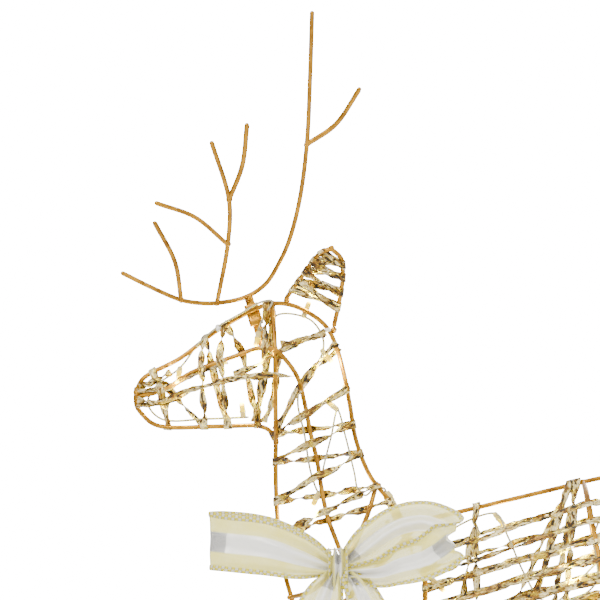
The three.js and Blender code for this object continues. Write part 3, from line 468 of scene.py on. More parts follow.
def wound_path(stops, clear, rng, span_steps, twist_share):
    """The middle of a strip wound over wires, the direction of its width and how tightly it is
    held, at each place. At a stop it follows an arc of radius clear round the outside of the wire:
    place = wire + clear (cos a outward + sin a onward). Between stops it is straight. Its width
    turns evenly from one wire's direction to the next, and on most spans also makes n half turns
    with flat stretches between them: a = pi (n t - EASE sin(2 pi n t) / 2 pi)."""
    centres, across = [], []
    for name, axis, value in stops:
        at = place_on(name, axis, value)
        path = LINES[name]
        centres.append(path[at])
        across.append(path[min(at + 1, len(path) - 1)] - path[max(at - 1, 0)])
    centres, across = np.array(centres), unit(across)
    before = np.vstack([centres[1:2], centres[:-1]])
    after = np.vstack([centres[1:], centres[-2:-1]])
    into, away = centres - before, after - centres
    into = unit(into - dot(into, across) * across)
    away = unit(away - dot(away, across) * across)
    outward = unit(into - away)
    onward = np.cross(across, outward)
    onward *= np.sign(dot(onward, into + away) + 1e-9)
    turn = np.arccos(np.clip(dot(into, away), -1, 1))
    swing = (turn * np.linspace(-0.5, 0.5, ARC_PLACES))[..., None]
    arcs = centres[:, None] + clear * (
        outward[:, None] * np.cos(swing) + onward[:, None] * np.sin(swing)
    )
    start, end = arcs[:-1, -1], arcs[1:, 0]
    run = unit(end - start)
    flat0 = unit(across[:-1] - dot(across[:-1], run) * run)
    flat1 = unit(across[1:] - dot(across[1:], run) * run)
    lift = np.cross(run, flat0)
    angle = np.arctan2(dot(flat1, lift), dot(flat1, flat0))
    flip = np.abs(angle) > np.pi / 2
    angle = angle - np.pi * np.sign(angle) * flip
    length = np.linalg.norm(end - start, axis=1, keepdims=True)
    turned = (rng.random(flip.shape) < twist_share) & (length > SHORTEST_TURNED)
    half_turns = turned * (1 + (length / TURN_EVERY).astype(int))
    hand = rng.choice([-1, 1], flip.shape)
    t = np.linspace(0, 1, span_steps + 2)[1:-1][None, :, None]
    whole = 2 * np.pi * half_turns[:, None] * t
    rise = half_turns[:, None] * t - EASE * np.sin(whole) / 2 / np.pi
    turned_by = angle[:, None] * t + hand[:, None] * np.pi * rise
    signs = np.cumprod(np.where(flip ^ (half_turns % 2 == 1), -1, 1), axis=0)
    signs = np.vstack([[[1]], signs])
    spans = start[:, None] * (1 - t) + end[:, None] * t
    span_width = np.cos(turned_by) * flat0[:, None] + np.sin(turned_by) * lift[:, None]
    span_width = span_width * signs[:-1, None]
    arc_width = np.broadcast_to((across * signs)[:, None], arcs.shape)
    held = np.concatenate([arcs, arc_width, np.ones_like(arcs[..., :1])], axis=2)
    free = np.concatenate([spans, span_width, np.zeros_like(spans[..., :1])], axis=2)
    rows = np.concatenate([held[:-1], free], axis=1).reshape(-1, 7)
    return np.vstack([rows, held[-1]])


def foil_band(rows, width, thickness, rng):
    """A crumpled strip of foil. Across it w runs from -1 to 1: place = middle + w width / 2 across
    + (curl w^2 + two crossing waves along it) normal, and half the thickness to each face."""
    middle = blur(rows[:, :3], 2)
    across = blur(rows[:, 3:6], 2)
    held = blur(rows[:, 6:7], 1)
    run = np.linalg.norm(np.diff(middle, axis=0), axis=1)
    run = np.concatenate([[0], np.cumsum(run)])[:, None]
    tangent = unit(np.gradient(middle, axis=0))
    across = unit(across - dot(across, tangent) * tangent)
    normal = np.cross(tangent, across)
    phase = rng.uniform(*ANY_PHASE, 6)
    loose = 1 - 0.85 * held
    narrow = 1 - 0.16 * loose * (1 + np.sin(run / 0.011 + phase[0])) * (
        1 + 0.4 * np.sin(run / 0.0043 + phase[1])
    )
    w = np.array([1, 0.6, 0.2, -0.2, -0.6, -1])
    w = np.concatenate([w, w[::-1]])[None]
    face = np.array([1] * 6 + [-1] * 6)[None]
    curl = 0.0011 * np.sin(run / 0.014 + phase[2])
    crease = 0.00042 * np.sin(run / 0.0021 + 2.3 * w + phase[3])
    crease = crease + 0.00030 * np.sin(run / 0.0012 - 4.1 * w + phase[4])
    height = loose * (curl * (w**2 - 0.4) + crease) + face * thickness / 2
    wander = 0.0005 * loose * np.sin(run / 0.009 + phase[5])
    rings = (
        middle[:, None]
        + (w * width / 2 * narrow + wander)[..., None] * across[:, None]
        + height[..., None] * normal[:, None]
    )
    pattern = np.stack(np.broadcast_arrays(run + phase[0], w * width / 2 + 0 * run), axis=-1)
    return skin(rings, pattern)


def laid_rows(points, rng, turns):
    """A strip that runs along the frame through points, twisted by a number of half turns."""
    middle = line(points, LAID_STEP)
    _, normal, side = frames(middle)
    share = np.linspace(0, 1, len(middle))[:, None]
    angle = turns * np.pi * share + 0.35 * np.sin(share * 9 + rng.uniform(0, 6))
    across = np.cos(angle) * normal + np.sin(angle) * side
    held = np.zeros((len(middle), 1))
    held[:3] = held[-3:] = 1
    return np.hstack([middle, across, held])


# --- Materials ----------------------------------------------------------------------------------


def start_material(name, values):
    """A material with these values on its shader's own sockets."""
    material = bpy.data.materials.new(name)
    material.use_nodes = True
    tree = material.node_tree
    shader = tree.nodes["Principled BSDF"]
    for socket, value in values.items():
        shader.inputs[socket].default_value = value
    return material, tree, shader


def add_node(tree, kind, inputs=None, **settings):
    """Adds a node. Each input is a number or colour, or another node's output."""
    new = tree.nodes.new(kind)
    for key, value in settings.items():
        setattr(new, key, value)
    for key, value in (inputs or {}).items():
        if isinstance(value, bpy.types.NodeSocket):
            tree.links.new(value, new.inputs[key])
        else:
            new.inputs[key].default_value = value
    return new


def ramp(tree, factor, stops):
    """A colour ramp's output, from stops of position and grey level or colour."""
    new = add_node(tree, "ShaderNodeValToRGB", {"Fac": factor})
    elements = new.color_ramp.elements
    while len(elements) < len(stops):
        elements.new(1)
    for element, (position, colour) in zip(elements, stops):
        element.position = position
        element.color = (*colour, 1) if isinstance(colour, tuple) else (colour, colour, colour, 1)
    return new.outputs["Color"]


def noise(tree, vector, scale, detail=3.0, distortion=0.0):
    """A noise texture's output, from 0 to 1."""
    inputs = {"Vector": vector, "Scale": scale, "Detail": detail, "Distortion": distortion}
    return add_node(tree, "ShaderNodeTexNoise", inputs).outputs["Fac"]


def mix(tree, factor, first, second, blend="MIX"):
    """Two colours mixed."""
    new = add_node(tree, "ShaderNodeMix", data_type="RGBA", blend_type=blend)
    for socket, value in ((new.inputs[0], factor), (new.inputs[6], first), (new.inputs[7], second)):
        if isinstance(value, bpy.types.NodeSocket):
            tree.links.new(value, socket)
        else:
            socket.default_value = (*value, 1) if isinstance(value, tuple) else value
    return new.outputs[2]


def maths(tree, operation, first, second=0.0):
    """One arithmetic node's output."""
    return add_node(tree, "ShaderNodeMath", {0: first, 1: second}, operation=operation).outputs[0]


def bump(tree, shader, height, strength, distance):
    """Gives the shader small relief."""
    inputs = {"Height": height, "Strength": strength, "Distance": distance}
    tree.links.new(add_node(tree, "ShaderNodeBump", inputs).outputs[0], shader.inputs["Normal"])


def object_place(tree):
    """Place on the object, in metres."""
    return add_node(tree, "ShaderNodeTexCoord").outputs["Object"]


def pattern_place(tree):
    """Place on the piece's own UV map."""
    return add_node(tree, "ShaderNodeUVMap", uv_map="UVMap").outputs["UV"]


def wire_paint(colours):
    """Bronze-gold enamel on wire: its colour mixed at random with painted shade, a darker copy of
    the paint, fine orange peel and sparse bright flakes.
    """
    values = {"Metallic": 0.8, "Coat Weight": 0.1, "Coat Roughness": 0.2}
    material, tree, shader = start_material("bronze gold wire", values)
    place = object_place(tree)
    light, dark = tuple(colours.wire_light), tuple(colours.wire_painted_shade)
    # The ramp's dark end is painted shade, a darker copy of the paint, placed at random.
    tone = ramp(tree, noise(tree, place, 95, 5), [(0.32, dark), (0.62, light)])
    flakes = add_node(tree, "ShaderNodeTexVoronoi", {"Vector": place, "Scale": 1500})
    spark = ramp(tree, flakes.outputs["Color"], [(0.72, 0.0), (0.8, 1.0)])
    gold = (0.90, 0.52, 0.05)
    tree.links.new(mix(tree, maths(tree, "MULTIPLY", spark, 0.14), tone, gold), shader.inputs[0])
    rough = ramp(tree, noise(tree, place, 300, 4), [(0.3, 0.26), (0.7, 0.5)])
    tree.links.new(rough, shader.inputs["Roughness"])
    grain = maths(tree, "ADD", noise(tree, place, 1800, 2), maths(tree, "MULTIPLY", spark, 0.4))
    bump(tree, shader, grain, 0.25, 0.0001)
    return material


def foil(colours):
    """Metallised film, twisted and crumpled: cream and gold faces, with painted reflections along
    long folds:
    near-black painted shade, red-brown and grey painted reflections and a pale painted highlight,
    and larger patches of painted shade and red-brown painted reflection. u is the length along the
    strip and v the place across it, both in metres."""
    material, tree, shader = start_material(
        "crumpled foil", {"Metallic": 0.62, "Specular IOR Level": 0.7}
    )
    strip = pattern_place(tree)
    drawn = add_node(tree, "ShaderNodeMapping", {"Vector": strip, "Scale": (0.42, 1.0, 1.0)})
    place = drawn.outputs[0]
    tones = (colours.foil_cream, colours.foil_gold, colours.foil_red_brown_reflection)
    cream, gold, red_brown_reflection = (tuple(tone) for tone in tones)
    # The fold ramp is painted reflection: near-black painted shade at both ends, red-brown and grey
    # painted reflections, and a pale painted highlight (0.90, 0.80, 0.52). Cream and gold are the
    # film's own colours.
    dark = (0.016, 0.013, 0.004)
    folds = noise(tree, place, 250, 2.0, 1.1)
    stops = [(0.0, dark), (0.41, dark), (0.44, red_brown_reflection), (0.47, gold), (0.51, cream),
             (0.59, (0.90, 0.80, 0.52)), (0.64, gold), (0.68, (0.24, 0.20, 0.12)), (0.72, dark)]
    tone = ramp(tree, folds, stops)
    # Larger patches where a darker ramp of painted shade and red-brown painted reflection replaces
    # the fold tones.
    patches = ramp(tree, noise(tree, strip, 42, 2, 0.4), [(0.43, 0.0), (0.52, 1.0)])
    brown = ramp(tree, folds, [(0.38, dark), (0.5, red_brown_reflection), (0.62, gold)])
    tone = mix(tree, patches, brown, tone)
    flecks = ramp(tree, noise(tree, place, 950, 2, 0.4), [(0.33, 0.05), (0.39, 1.0)])
    tone = mix(tree, 1.0, tone, flecks, "MULTIPLY")
    tree.links.new(tone, shader.inputs["Base Color"])
    rough = ramp(tree, noise(tree, place, 500, 3), [(0.3, 0.10), (0.7, 0.30)])
    tree.links.new(rough, shader.inputs["Roughness"])
    inputs = {"Vector": place, "Scale": 330, "Randomness": 1.0}
    cells = add_node(tree, "ShaderNodeTexVoronoi", inputs, feature="F1")
    height = maths(tree, "ADD", cells.outputs["Distance"], noise(tree, place, 800, 2, 1.0))
    bump(tree, shader, height, 0.9, 0.0008)
    return material


def clear_plastic(name, colour, transmission, roughness):
    """Moulded or drawn plastic, slightly cloudy, with faint flow marks."""
    values = {
        "Transmission Weight": transmission, "IOR": 1.46, "Subsurface Weight": 0.2,
        "Subsurface Radius": (0.002, 0.002, 0.0014), "Subsurface Scale": 1.0,
    }
    material, tree, shader = start_material(name, values)
    place = object_place(tree)
    cloud = noise(tree, place, 180, 3)
    shade = tuple(0.86 * c for c in colour)
    tone = ramp(tree, cloud, [(0.3, shade), (0.7, tuple(colour))])
    tree.links.new(tone, shader.inputs["Base Color"])
    grain = ramp(tree, noise(tree, place, 700, 2), [(0.2, roughness), (0.8, roughness + 0.14)])
    tree.links.new(grain, shader.inputs["Roughness"])
    bump(tree, shader, noise(tree, place, 900, 2), 0.15, 0.0001)
    return material


def lamp_glow(colours, strength):
    """A lit lamp, its glow mottled between two yellows."""
    values = {"Roughness": 0.08, "IOR": 1.5, "Emission Strength": strength}
    material, tree, shader = start_material("lit lamp", values)
    core = noise(tree, object_place(tree), 220, 2)
    warm = tuple(colours.lamp_light)
    tone = ramp(tree, core, [(0.3, warm), (0.7, (1.0, 0.80, 0.0))])
    tree.links.new(tone, shader.inputs["Emission Color"])
    shader.inputs["Base Color"].default_value = (0.9, 0.55, 0.0, 1)
    return material


GLITTER_EVERY = 0.12
GLITTER_SHIFT = 0.0083


def ribbon_weave(colours, width):
    """Sheer organza with a satin stripe down its middle: v runs from 0 to 1 across it and u is the
    length along it in metres. Threads show as relief and as holes in the sheer part."""
    values = {"Sheen Weight": 0.5, "Sheen Roughness": 0.35, "Specular IOR Level": 0.6}
    material, tree, shader = start_material("sheer ribbon", values)
    place = pattern_place(tree)
    split = add_node(tree, "ShaderNodeSeparateXYZ", {0: place})
    v = split.outputs["Y"]
    stripe = ramp(tree, v, [(0.31, 0.0), (0.34, 1.0), (0.66, 1.0), (0.69, 0.0)])
    metres = add_node(tree, "ShaderNodeMapping", {"Vector": place, "Scale": (1.0, width, 1.0)})
    flat_place = metres.outputs[0]
    waves = {"Vector": flat_place, "Scale": 600.0, "Distortion": 0.3}
    warp = add_node(tree, "ShaderNodeTexWave", waves, bands_direction="X").outputs["Fac"]
    weft = add_node(tree, "ShaderNodeTexWave", waves, bands_direction="Y").outputs["Fac"]
    threads = maths(tree, "MAXIMUM", warp, weft)
    repeats = maths(tree, "MULTIPLY_ADD", split.outputs["X"], 1 / GLITTER_EVERY)
    repeats.node.inputs[2].default_value = GLITTER_SHIFT
    patches = ramp(tree, maths(tree, "FRACT", repeats), [(0.14, 1.0), (0.15, 0.0)])
    speck = ramp(tree, noise(tree, flat_place, 2100, 1), [(0.44, 0.12), (0.56, 0.8)])
    silver = mix(tree, patches, (0.98, 0.98, 0.95), speck)
    cloud = noise(tree, flat_place, 60, 3)
    cream = mix(tree, cloud, tuple(colours.ribbon_cream), (1.0, 0.95, 0.42))
    tree.links.new(mix(tree, stripe, cream, silver), shader.inputs["Base Color"])
    sheer = ramp(tree, threads, [(0.25, 0.22), (0.85, 0.66)])
    tree.links.new(mix(tree, stripe, sheer, (0.80, 0.80, 0.80)), shader.inputs["Alpha"])
    tree.links.new(ramp(tree, stripe, [(0.0, 0.55), (1.0, 0.28)]), shader.inputs["Roughness"])
    tree.links.new(ramp(tree, stripe, [(0.0, 0.0), (1.0, 0.25)]), shader.inputs["Metallic"])
    bump(tree, shader, threads, 0.4, 0.0002)
    return material


EDGE_CELL = 0.0032


def ribbon_edge(colours):
    """The ribbon's wired edge: squares of gold and pale thread in two rows, with painted shade in
    the grooves between its beads.
    """
    material, tree, shader = start_material("chequered edge", {"Metallic": 0.05, "Roughness": 0.35})
    place = pattern_place(tree)
    length = add_node(tree, "ShaderNodeSeparateXYZ", {0: place}).outputs["X"]
    in_cell = maths(tree, "PINGPONG", maths(tree, "MULTIPLY", length, 1 / EDGE_CELL), 0.5)
    # Painted shade: darker where the edge's beads pinch, one groove each 3.2 mm.
    bead_groove_shade = ramp(tree, in_cell, [(0.03, 0.40), (0.13, 1.0)])
    cells = (1 / EDGE_CELL, 4.0, 1.0)
    squares = add_node(tree, "ShaderNodeMapping", {"Vector": place, "Scale": cells})
    inputs = {"Vector": squares.outputs[0], "Scale": 1.0,
              "Color1": (*colours.edge_gold, 1), "Color2": (0.78, 0.76, 0.60, 1)}
    chequer = add_node(tree, "ShaderNodeTexChecker", inputs).outputs["Color"]
    fine = ramp(tree, noise(tree, place, 2600, 1), [(0.42, 0.12), (0.55, 1.0)])
    tone = mix(tree, 1.0, mix(tree, 0.7, chequer, fine, "MULTIPLY"), bead_groove_shade, "MULTIPLY")
    tree.links.new(tone, shader.inputs["Base Color"])
    bump(tree, shader, noise(tree, place, 1900, 1), 0.6, 0.0003)
    return material


def zinc():
    """Zinc-plated steel with faint spangle and turning marks."""
    material, tree, shader = start_material("zinc plate", {"Metallic": 0.9})
    place = object_place(tree)
    spangle = add_node(tree, "ShaderNodeTexVoronoi", {"Vector": place, "Scale": 260})
    tone = ramp(tree, spangle.outputs["Color"],
                [(0.2, (0.56, 0.57, 0.58)), (0.8, (0.78, 0.79, 0.80))])
    tree.links.new(tone, shader.inputs["Base Color"])
    rough = ramp(tree, noise(tree, place, 400, 4), [(0.3, 0.24), (0.7, 0.46)])
    tree.links.new(rough, shader.inputs["Roughness"])
    bump(tree, shader, noise(tree, place, 1400, 3), 0.2, 0.0001)
    return material


def floor_paint():
    """Pale matt studio floor."""
    material, tree, shader = start_material("studio floor", {"Roughness": 0.85})
    tone = ramp(tree, noise(tree, object_place(tree), 3, 2), [(0.3, 0.90), (0.7, 0.93)])
    tree.links.new(tone, shader.inputs["Base Color"])
    return material


MADE = {}


def finish_of(name):
    """The material with this name, made once from the scene's sizes and colours."""
    colours = bpy.context.scene.reindeer_colours
    sizes = bpy.context.scene.reindeer_sizes
    makers = {
        "wire": lambda: wire_paint(colours),
        "foil": lambda: foil(colours),
        "cable": lambda: clear_plastic("clear cable", colours.cable, 0.12, 0.14),
        # The holders' yellow is painted glow of the lamps on cream plastic. The plug, socket and
        # inlet share this material.
        "holder": lambda: clear_plastic("lamp holder", colours.holder, 0.15, 0.3),
        "clip": lambda: clear_plastic("white clip", (0.93, 0.91, 0.88), 0.05, 0.35),
        "lamp": lambda: lamp_glow(colours, sizes.lamp_strength),
        "ribbon": lambda: ribbon_weave(colours, sizes.ribbon_width),
        "edge": lambda: ribbon_edge(colours),
        "zinc": zinc,
        "floor": floor_paint,
    }
    if name not in MADE:
        MADE[name] = makers[name]()
    return MADE[name]


# --- Wires --------------------------------------------------------------------------------------

HEAD_WIRES = ["nape", "jaw", "throat"] + [
    f"{wire}_{side}" for wire in ("brow", "cheek", "head_hoop", "neck_hoop") for side in SIDES
]
BODY_WIRES = ["spine", "belly"] + [
    f"{wire}_{side}" for wire in ("flank", "collar", "shoulder", "middle", "hip") for side in SIDES
]
HEAD_WELDS = [
    (-328.4, 0, 858), (-219.4, 0, 828.3), (-139, 0, 861), (-111, 0, 774), (-190, 0, 673.5),
    (-202.5, 0, 814),
] + both_sides([
    (-328, 6, 857.5), (-205.6, 8.9, 937.4), (-203.5, 30, 896), (-141, 44, 706), (-193, 9.4, 941),
    (-150.5, 8.4, 914), (-213.4, 29.2, 898.3),
])
BODY_WELDS = [
    (-71, 0, 743), (-168, 0, 626), (-65, 0, 547), (74, 0, 777), (109, 0, 566), (198, 0, 795),
    (223, 0, 590), (296, 0, 773), (326, 0, 706),
] + both_sides([
    (-68, 75.7, 644), (98, 93.8, 662), (212, 87, 680), (-136, 49.5, 667),
])
PIN = 30
BEAM_Y = 6.45
SPREAD = 0.41
FRONT_SPREAD = 0.12
STEM_TOP = 8
FRONT_FROM = 25
TAB_EDGE = 11
TAB_INSET = 3.95
TAB_HALF = 1.5
TOP_BAR = 9
FOOT_OVER = 4
FOOT_WIDTH = 10
FOOT_THICK = 3


def cage(names, welds, radius):
    """Tubes along the named lines, with a bead of weld at each place where wires meet."""
    return [tube(LINES[name], radius) for name in names] + weld_beads(welds)


def make_head_wires(sizes):
    """The wires of the head and neck, the pins that go into the neck sleeves, and both ears."""
    radius = sizes.wire_radius
    parts = cage(HEAD_WIRES, HEAD_WELDS, radius)
    parts.append(rod((-328, -7, 857), (-328, 7, 857), radius))
    parts.append(rod((RAIL_BAR[0], -30, RAIL_BAR[1]), (RAIL_BAR[0], 30, RAIL_BAR[1]), radius))
    for pin in (THROAT_PIN, NAPE_PIN):
        parts.append(rod(pin, pin + NECK_DOWN * PIN, radius))
    make_piece("head_neck_wires", parts, finish_of("wire"), "head_neck",
               ["head_neck_frame"])
    for name, side in SIDES.items():
        parts = [tube(LINES[f"ear_{wire}_{name}"], radius) for wire in ("front", "back")]
        parts += weld_beads([(-152.8, side * 34, 987.8)], 2.5)
        make_piece(f"ear_wires_{name}", parts, finish_of("wire"), "head_neck",
                   [f"ear_{name}"])


def antler_lines(side):
    """An antler's beam and tines. Sideways: y = BEAM_Y + SPREAD (height over the stem) +
    FRONT_SPREAD (distance in front of the stem)."""
    lines = []
    for outline in [BEAM, *TINES]:
        x, z = np.array(outline, float).T
        over = np.maximum(0, z - SOCKET_TOP[2] - STEM_TOP)
        ahead = np.maximum(0, SOCKET_TOP[0] - FRONT_FROM - x)
        y = side * (BEAM_Y + SPREAD * over + FRONT_SPREAD * ahead)
        lines.append(line(np.stack([x, y, z], axis=1)))
    return lines


def make_antlers(sizes):
    """The square socket on the head, the stem that plugs into it, and an antler on each side."""
    top = SOCKET_TOP
    wall = [(0.3, -20, 0), (5.9, -20), (6.3, -19.4), (6.3, -13.4), (5.9, -13), (5.9, -12.4),
            (6.3, -12), (6.3, -7.4), (5.9, -7), (5.9, -6.4), (6.3, -6), (6.3, -0.5), (5.9, 0),
            (4.7, 0, 0), (4.5, -0.3, 0), (4.5, -17, 0), (0.3, -17, 0)]
    foot = np.array([RAIL_BAR[0], 0, RAIL_BAR[1]]) + PLUG_UP * 2.85
    parts = [
        turned(wall, top, PLUG_UP, 40, reach=squared(7), across=(0, 1, 0)),
        rod(top - PLUG_UP * 19, foot, 4 * MM, 16),
    ]
    make_piece("antler_socket_block", parts, finish_of("wire"), "head_neck",
               ["antler_socket"])
    stem = [(0.3, -16.65), (3.6, -16.65), (4, -16), (4, 7.4), (3.5, 8), (0.3, 8)]
    parts = [turned(stem, top, PLUG_UP, 20)]
    make_piece("antler_stem_rod", parts, finish_of("wire"), "antlers",
               ["antler_stem"])
    for name, side in SIDES.items():
        lines = antler_lines(side)
        parts = [tube(path, sizes.wire_radius) for path in lines]
        joints = [path[0] / MM for path in lines[1:]]
        seam = top + PLUG_UP * 5 + (0, side * 4.6, 0)
        parts += weld_beads(joints, 2.7) + weld_beads([seam], 3.1)
        make_piece(f"antler_wires_{name}", parts, finish_of("wire"), "antlers",
                   [f"antler_{name}"])


def bracket_parts(leg, side):
    """A drilled plate beside the leg's top, with a tongue over its top bar."""
    (x, z), y, ahead = leg["pivot"], leg["y"], leg["ahead"]
    reach_ends = sorted([-TAB_EDGE * ahead, (leg["tab_width"] - TAB_EDGE) * ahead])
    low, high = -TAB_EDGE, leg["tab_top"] - z
    corners = [math.atan2(v, u) for u in reach_ends for v in (low, high)]
    angles = np.linspace(-np.pi, np.pi, 36, endpoint=False)
    angles = np.unique(np.concatenate([angles, corners]))
    plate = [(3.35, 0, 0), (0.985, 0), (1, 0.5), (1, 2.5), (0.985, 3), (3.35, 3, 0)]
    base = (x, side * (y - TAB_INSET) + TAB_HALF, z)
    reach = box_reach(*reach_ends, low, high)
    tab = turned(plate, base, (0, -1, 0), loop=True, reach=reach, across=(1, 0, 0), angles=angles)
    tongue = block((x + ahead * 13, side * (y + 0.05), z + 12.95), (10, 7, 3))
    return [tab, tongue]


def make_body_wires(sizes):
    """The wires of the body with the leg brackets, and the tail's loop."""
    parts = cage(BODY_WIRES, BODY_WELDS, sizes.wire_radius)
    for side in SIDES.values():
        for leg in LEGS.values():
            parts += bracket_parts(leg, side)
    make_piece("body_wires", parts, finish_of("wire"), "body", ["body_frame"])
    parts = [tube(LINES[name], sizes.wire_radius) for name in ("tail_top", "tail_low")]
    parts += weld_beads([(337.6, 0, 757)], 2.5)
    make_piece("tail_wires", parts, finish_of("wire"), "body", ["tail_loop"])


def make_legs(sizes):
    """Four legs, each a flat frame of two bent wires, bars between them, a hinge lug and a foot."""
    for end, leg in LEGS.items():
        (px, pz), ahead = leg["pivot"], leg["ahead"]
        for name, side in SIDES.items():
            y = side * leg["y"]
            fore, aft = (LINES[f"{end}_{wire}_{name}"] for wire in ("fore", "aft"))
            low, high = leg["top"]
            parts = [tube(fore, sizes.wire_radius), tube(aft, sizes.wire_radius)]
            welds = [(low, y, pz + TOP_BAR), (high, y, pz + TOP_BAR)]
            parts.append(rod(*welds, sizes.wire_radius))
            for z in leg["bars"]:
                ends = [path[np.argmin(np.abs(path[:, 2] - z * MM))] / MM for path in (fore, aft)]
                parts.append(rod(*ends, sizes.wire_radius))
                welds += ends
            lug = [(3.35, -2.1), (10.6, -2.1), (11, -1.7), (11, 1.7), (10.6, 2.1), (3.35, 2.1)]
            parts.append(turned(lug, (px, y, pz), (0, 1, 0), 32, loop=True))
            toes = [fore[-1][0] / MM, aft[-1][0] / MM]
            size = (abs(toes[1] - toes[0]) + FOOT_OVER, FOOT_WIDTH, FOOT_THICK)
            parts.append(block(((toes[0] + toes[1]) / 2, y, FOOT_THICK / 2), size))
            parts += weld_beads([at for at in welds if ahead * (at[0] - px) > 5], 2.6)
            node = f"leg_{end}_{name}"
            make_piece(f"{node}_wires", parts, finish_of("wire"), node, [node])


# --- Sleeves, screws, bolts and nuts ------------------------------------------------------------

RIDGES = 20
RIDGE_HEIGHT = 0.045
SLEEVE_LENGTH = 34
SCREW_DOWN = 14


def knurled(angle):
    """A circle with even ridges: 1 + RIDGE_HEIGHT cos(RIDGES a)."""
    return 1 + RIDGE_HEIGHT * np.cos(RIDGES * angle)


def make_hardware():
    """Neck sleeves with thumbscrews, and a bolt with a wing nut at each leg's hinge."""
    sleeve = [(2.55, 0), (4.1, 0), (4.4, 0.4), (4.4, 33.6), (4.1, 34), (2.55, 34)]
    screw = [(0.3, 2.45), (2, 2.45), (2, 8), (5.6, 8), (6, 8.5, 1), (6, 11.4, 1), (5.4, 12),
             (0.3, 12)]
    screw = [tuple(row) + (0,) * (3 - len(row)) for row in screw]
    for name, pin, inward in (("throat", THROAT_PIN, 1), ("nape", NAPE_PIN, -1)):
        collar = turned(sleeve, pin + NECK_DOWN * SLEEVE_LENGTH, -NECK_DOWN, 24, loop=True)
        make_piece(f"neck_sleeve_{name}_tube", [collar], finish_of("wire"), "body",
                   [f"neck_sleeve_{name}"])
        out = -inward * np.array([NECK_DOWN[2], 0, -NECK_DOWN[0]])
        part = turned(screw, pin + NECK_DOWN * SCREW_DOWN, out, 60, reach=knurled)
        make_piece(f"thumbscrew_{name}_knurled", [part], finish_of("zinc"), "body",
                   [f"thumbscrew_{name}"])
    bolt = [(0.3, -15, 0), (2.7, -15, 0), (3, -14.6, 0), (3, 2.45, 0), (5.9, 2.45), (5.9, 4.4),
            (5.4, 4.95), (0.3, 4.95, 0)]
    hub = [(3.35, 0), (4.8, 0), (5.5, 0.6), (5.2, 5), (3.35, 5)]
    for end, leg in LEGS.items():
        (x, z), y = leg["pivot"], leg["y"]
        for name, side in SIDES.items():
            part = turned(bolt, (x, side * y, z), (0, side, 0), 36, reach=six_sided)
            make_piece(f"hinge_bolt_{end}_{name}_hexagon", [part], finish_of("zinc"),
                       "body", [f"hinge_bolt_{end}_{name}"])
            inner = side * (y - 5.8)
            parts = [turned(hub, (x, inner, z), (0, -side, 0), 24, loop=True)]
            for way in (-1, 1):
                parts.append(pebble((x + way * 7.4, inner - side * 4.2, z), (4.6, 2.1, 1.2)))
            make_piece(f"wing_nut_{end}_{name}_lobed", parts, finish_of("zinc"), "body",
                       [f"wing_nut_{end}_{name}"])


# --- Foil winding -------------------------------------------------------------------------------

LAYER = 0.0009


def head_stops():
    """Stops from the nose back to the ears: under the jaw, over a cheek wire, over both brow wires
    and down the other cheek wire."""
    turns = [
        (-300, -306, -313, -313, -300), (-266, -268, -266, -266, -262),
        (-246, -252, -248, -248, -232), (-216, -213, -211, -211, -205),
    ]
    names = ("jaw", "cheek_left", "brow_left", "brow_right", "cheek_right")
    return [(name, "x", x) for turn in turns for name, x in zip(names, turn)]


def neck_stops():
    """Stops down the neck. A cheek wire is crossed halfway between the two heights beside it."""
    heights = [861, 818, 830, 794, 803, 760, 772.5, 729, 758]
    stops = []
    for i, z in enumerate(heights):
        stops.append(("throat" if i % 2 else "nape", "z", z))
        if i + 1 < len(heights):
            cheek = "cheek_right" if i % 2 else "cheek_left"
            stops.append((cheek, "z", (z + heights[i + 1]) / 2))
    return stops


def body_stops(name, first):
    """Stops to and fro between the shoulder and hip hoops, starting at one of two heights."""
    shoulder = [712, 696, 680, 664, 648, 632, 616, 600, 584]
    middle = [756, 740, 724, 708, 690, 672, 654, 636, 618]
    hip = [768, 750, 730, 712, 692, 672, 650, 632, 616]
    stops = []
    for i in range(first, len(hip), 2):
        stops.append((f"shoulder_{name}", "z", shoulder[i]))
        stops.append((f"middle_{name}", "z", middle[i]))
        stops.append((f"hip_{name}", "z", hip[i]))
    return stops


GIRTH_STOPS = [
    ("belly", "x", -18), ("flank_right", "x", -20), ("spine", "x", -21), ("flank_left", "x", -38),
    ("belly", "x", -52), ("flank_right", "x", 10), ("spine", "x", 62), ("flank_left", "x", 24),
    ("belly", "x", -2), ("flank_right", "x", 48), ("spine", "x", 70), ("flank_left", "x", 56),
    ("belly", "x", 40),
]
LAID = [
    [(-328, -6, 846), (-302.5, -14, 850), (-282.7, -19, 859), (-267, -21, 862.5),
     (-240.4, -25, 870.6), (-205, -30, 873), (-186, -31, 872.4)],
    [(-327, -8, 858), (-300, -17, 862), (-280, -20, 872), (-262, -22, 880), (-246.7, -25, 886)],
    [(-240.5, -25, 873.3), (-222, -30, 881.4), (-201.7, -30, 893.5), (-158, -9, 912.3)],
    [(-198.5, -30, 901), (-180, -22, 905), (-158, -10, 910.6)],
    [(-214, -2, 831), (-206, -18, 850), (-200, -31, 893)],
    [(-222, 0, 831.5), (-213, -12, 870), (-206, -13, 932)],
    [(-327, -8, 852), (-316, -12, 849), (-299, -16, 845)],
    [(-326, -8, 863), (-313, -12, 868), (-297, -13, 876)],
]


def coil_stops(wires, turns, first, last):
    """Even turns round two wires, from a first to a last share of both."""
    shares = np.linspace(first, last, 2 * turns + 1)
    return [(wires[i % 2], "share", share) for i, share in enumerate(shares)]


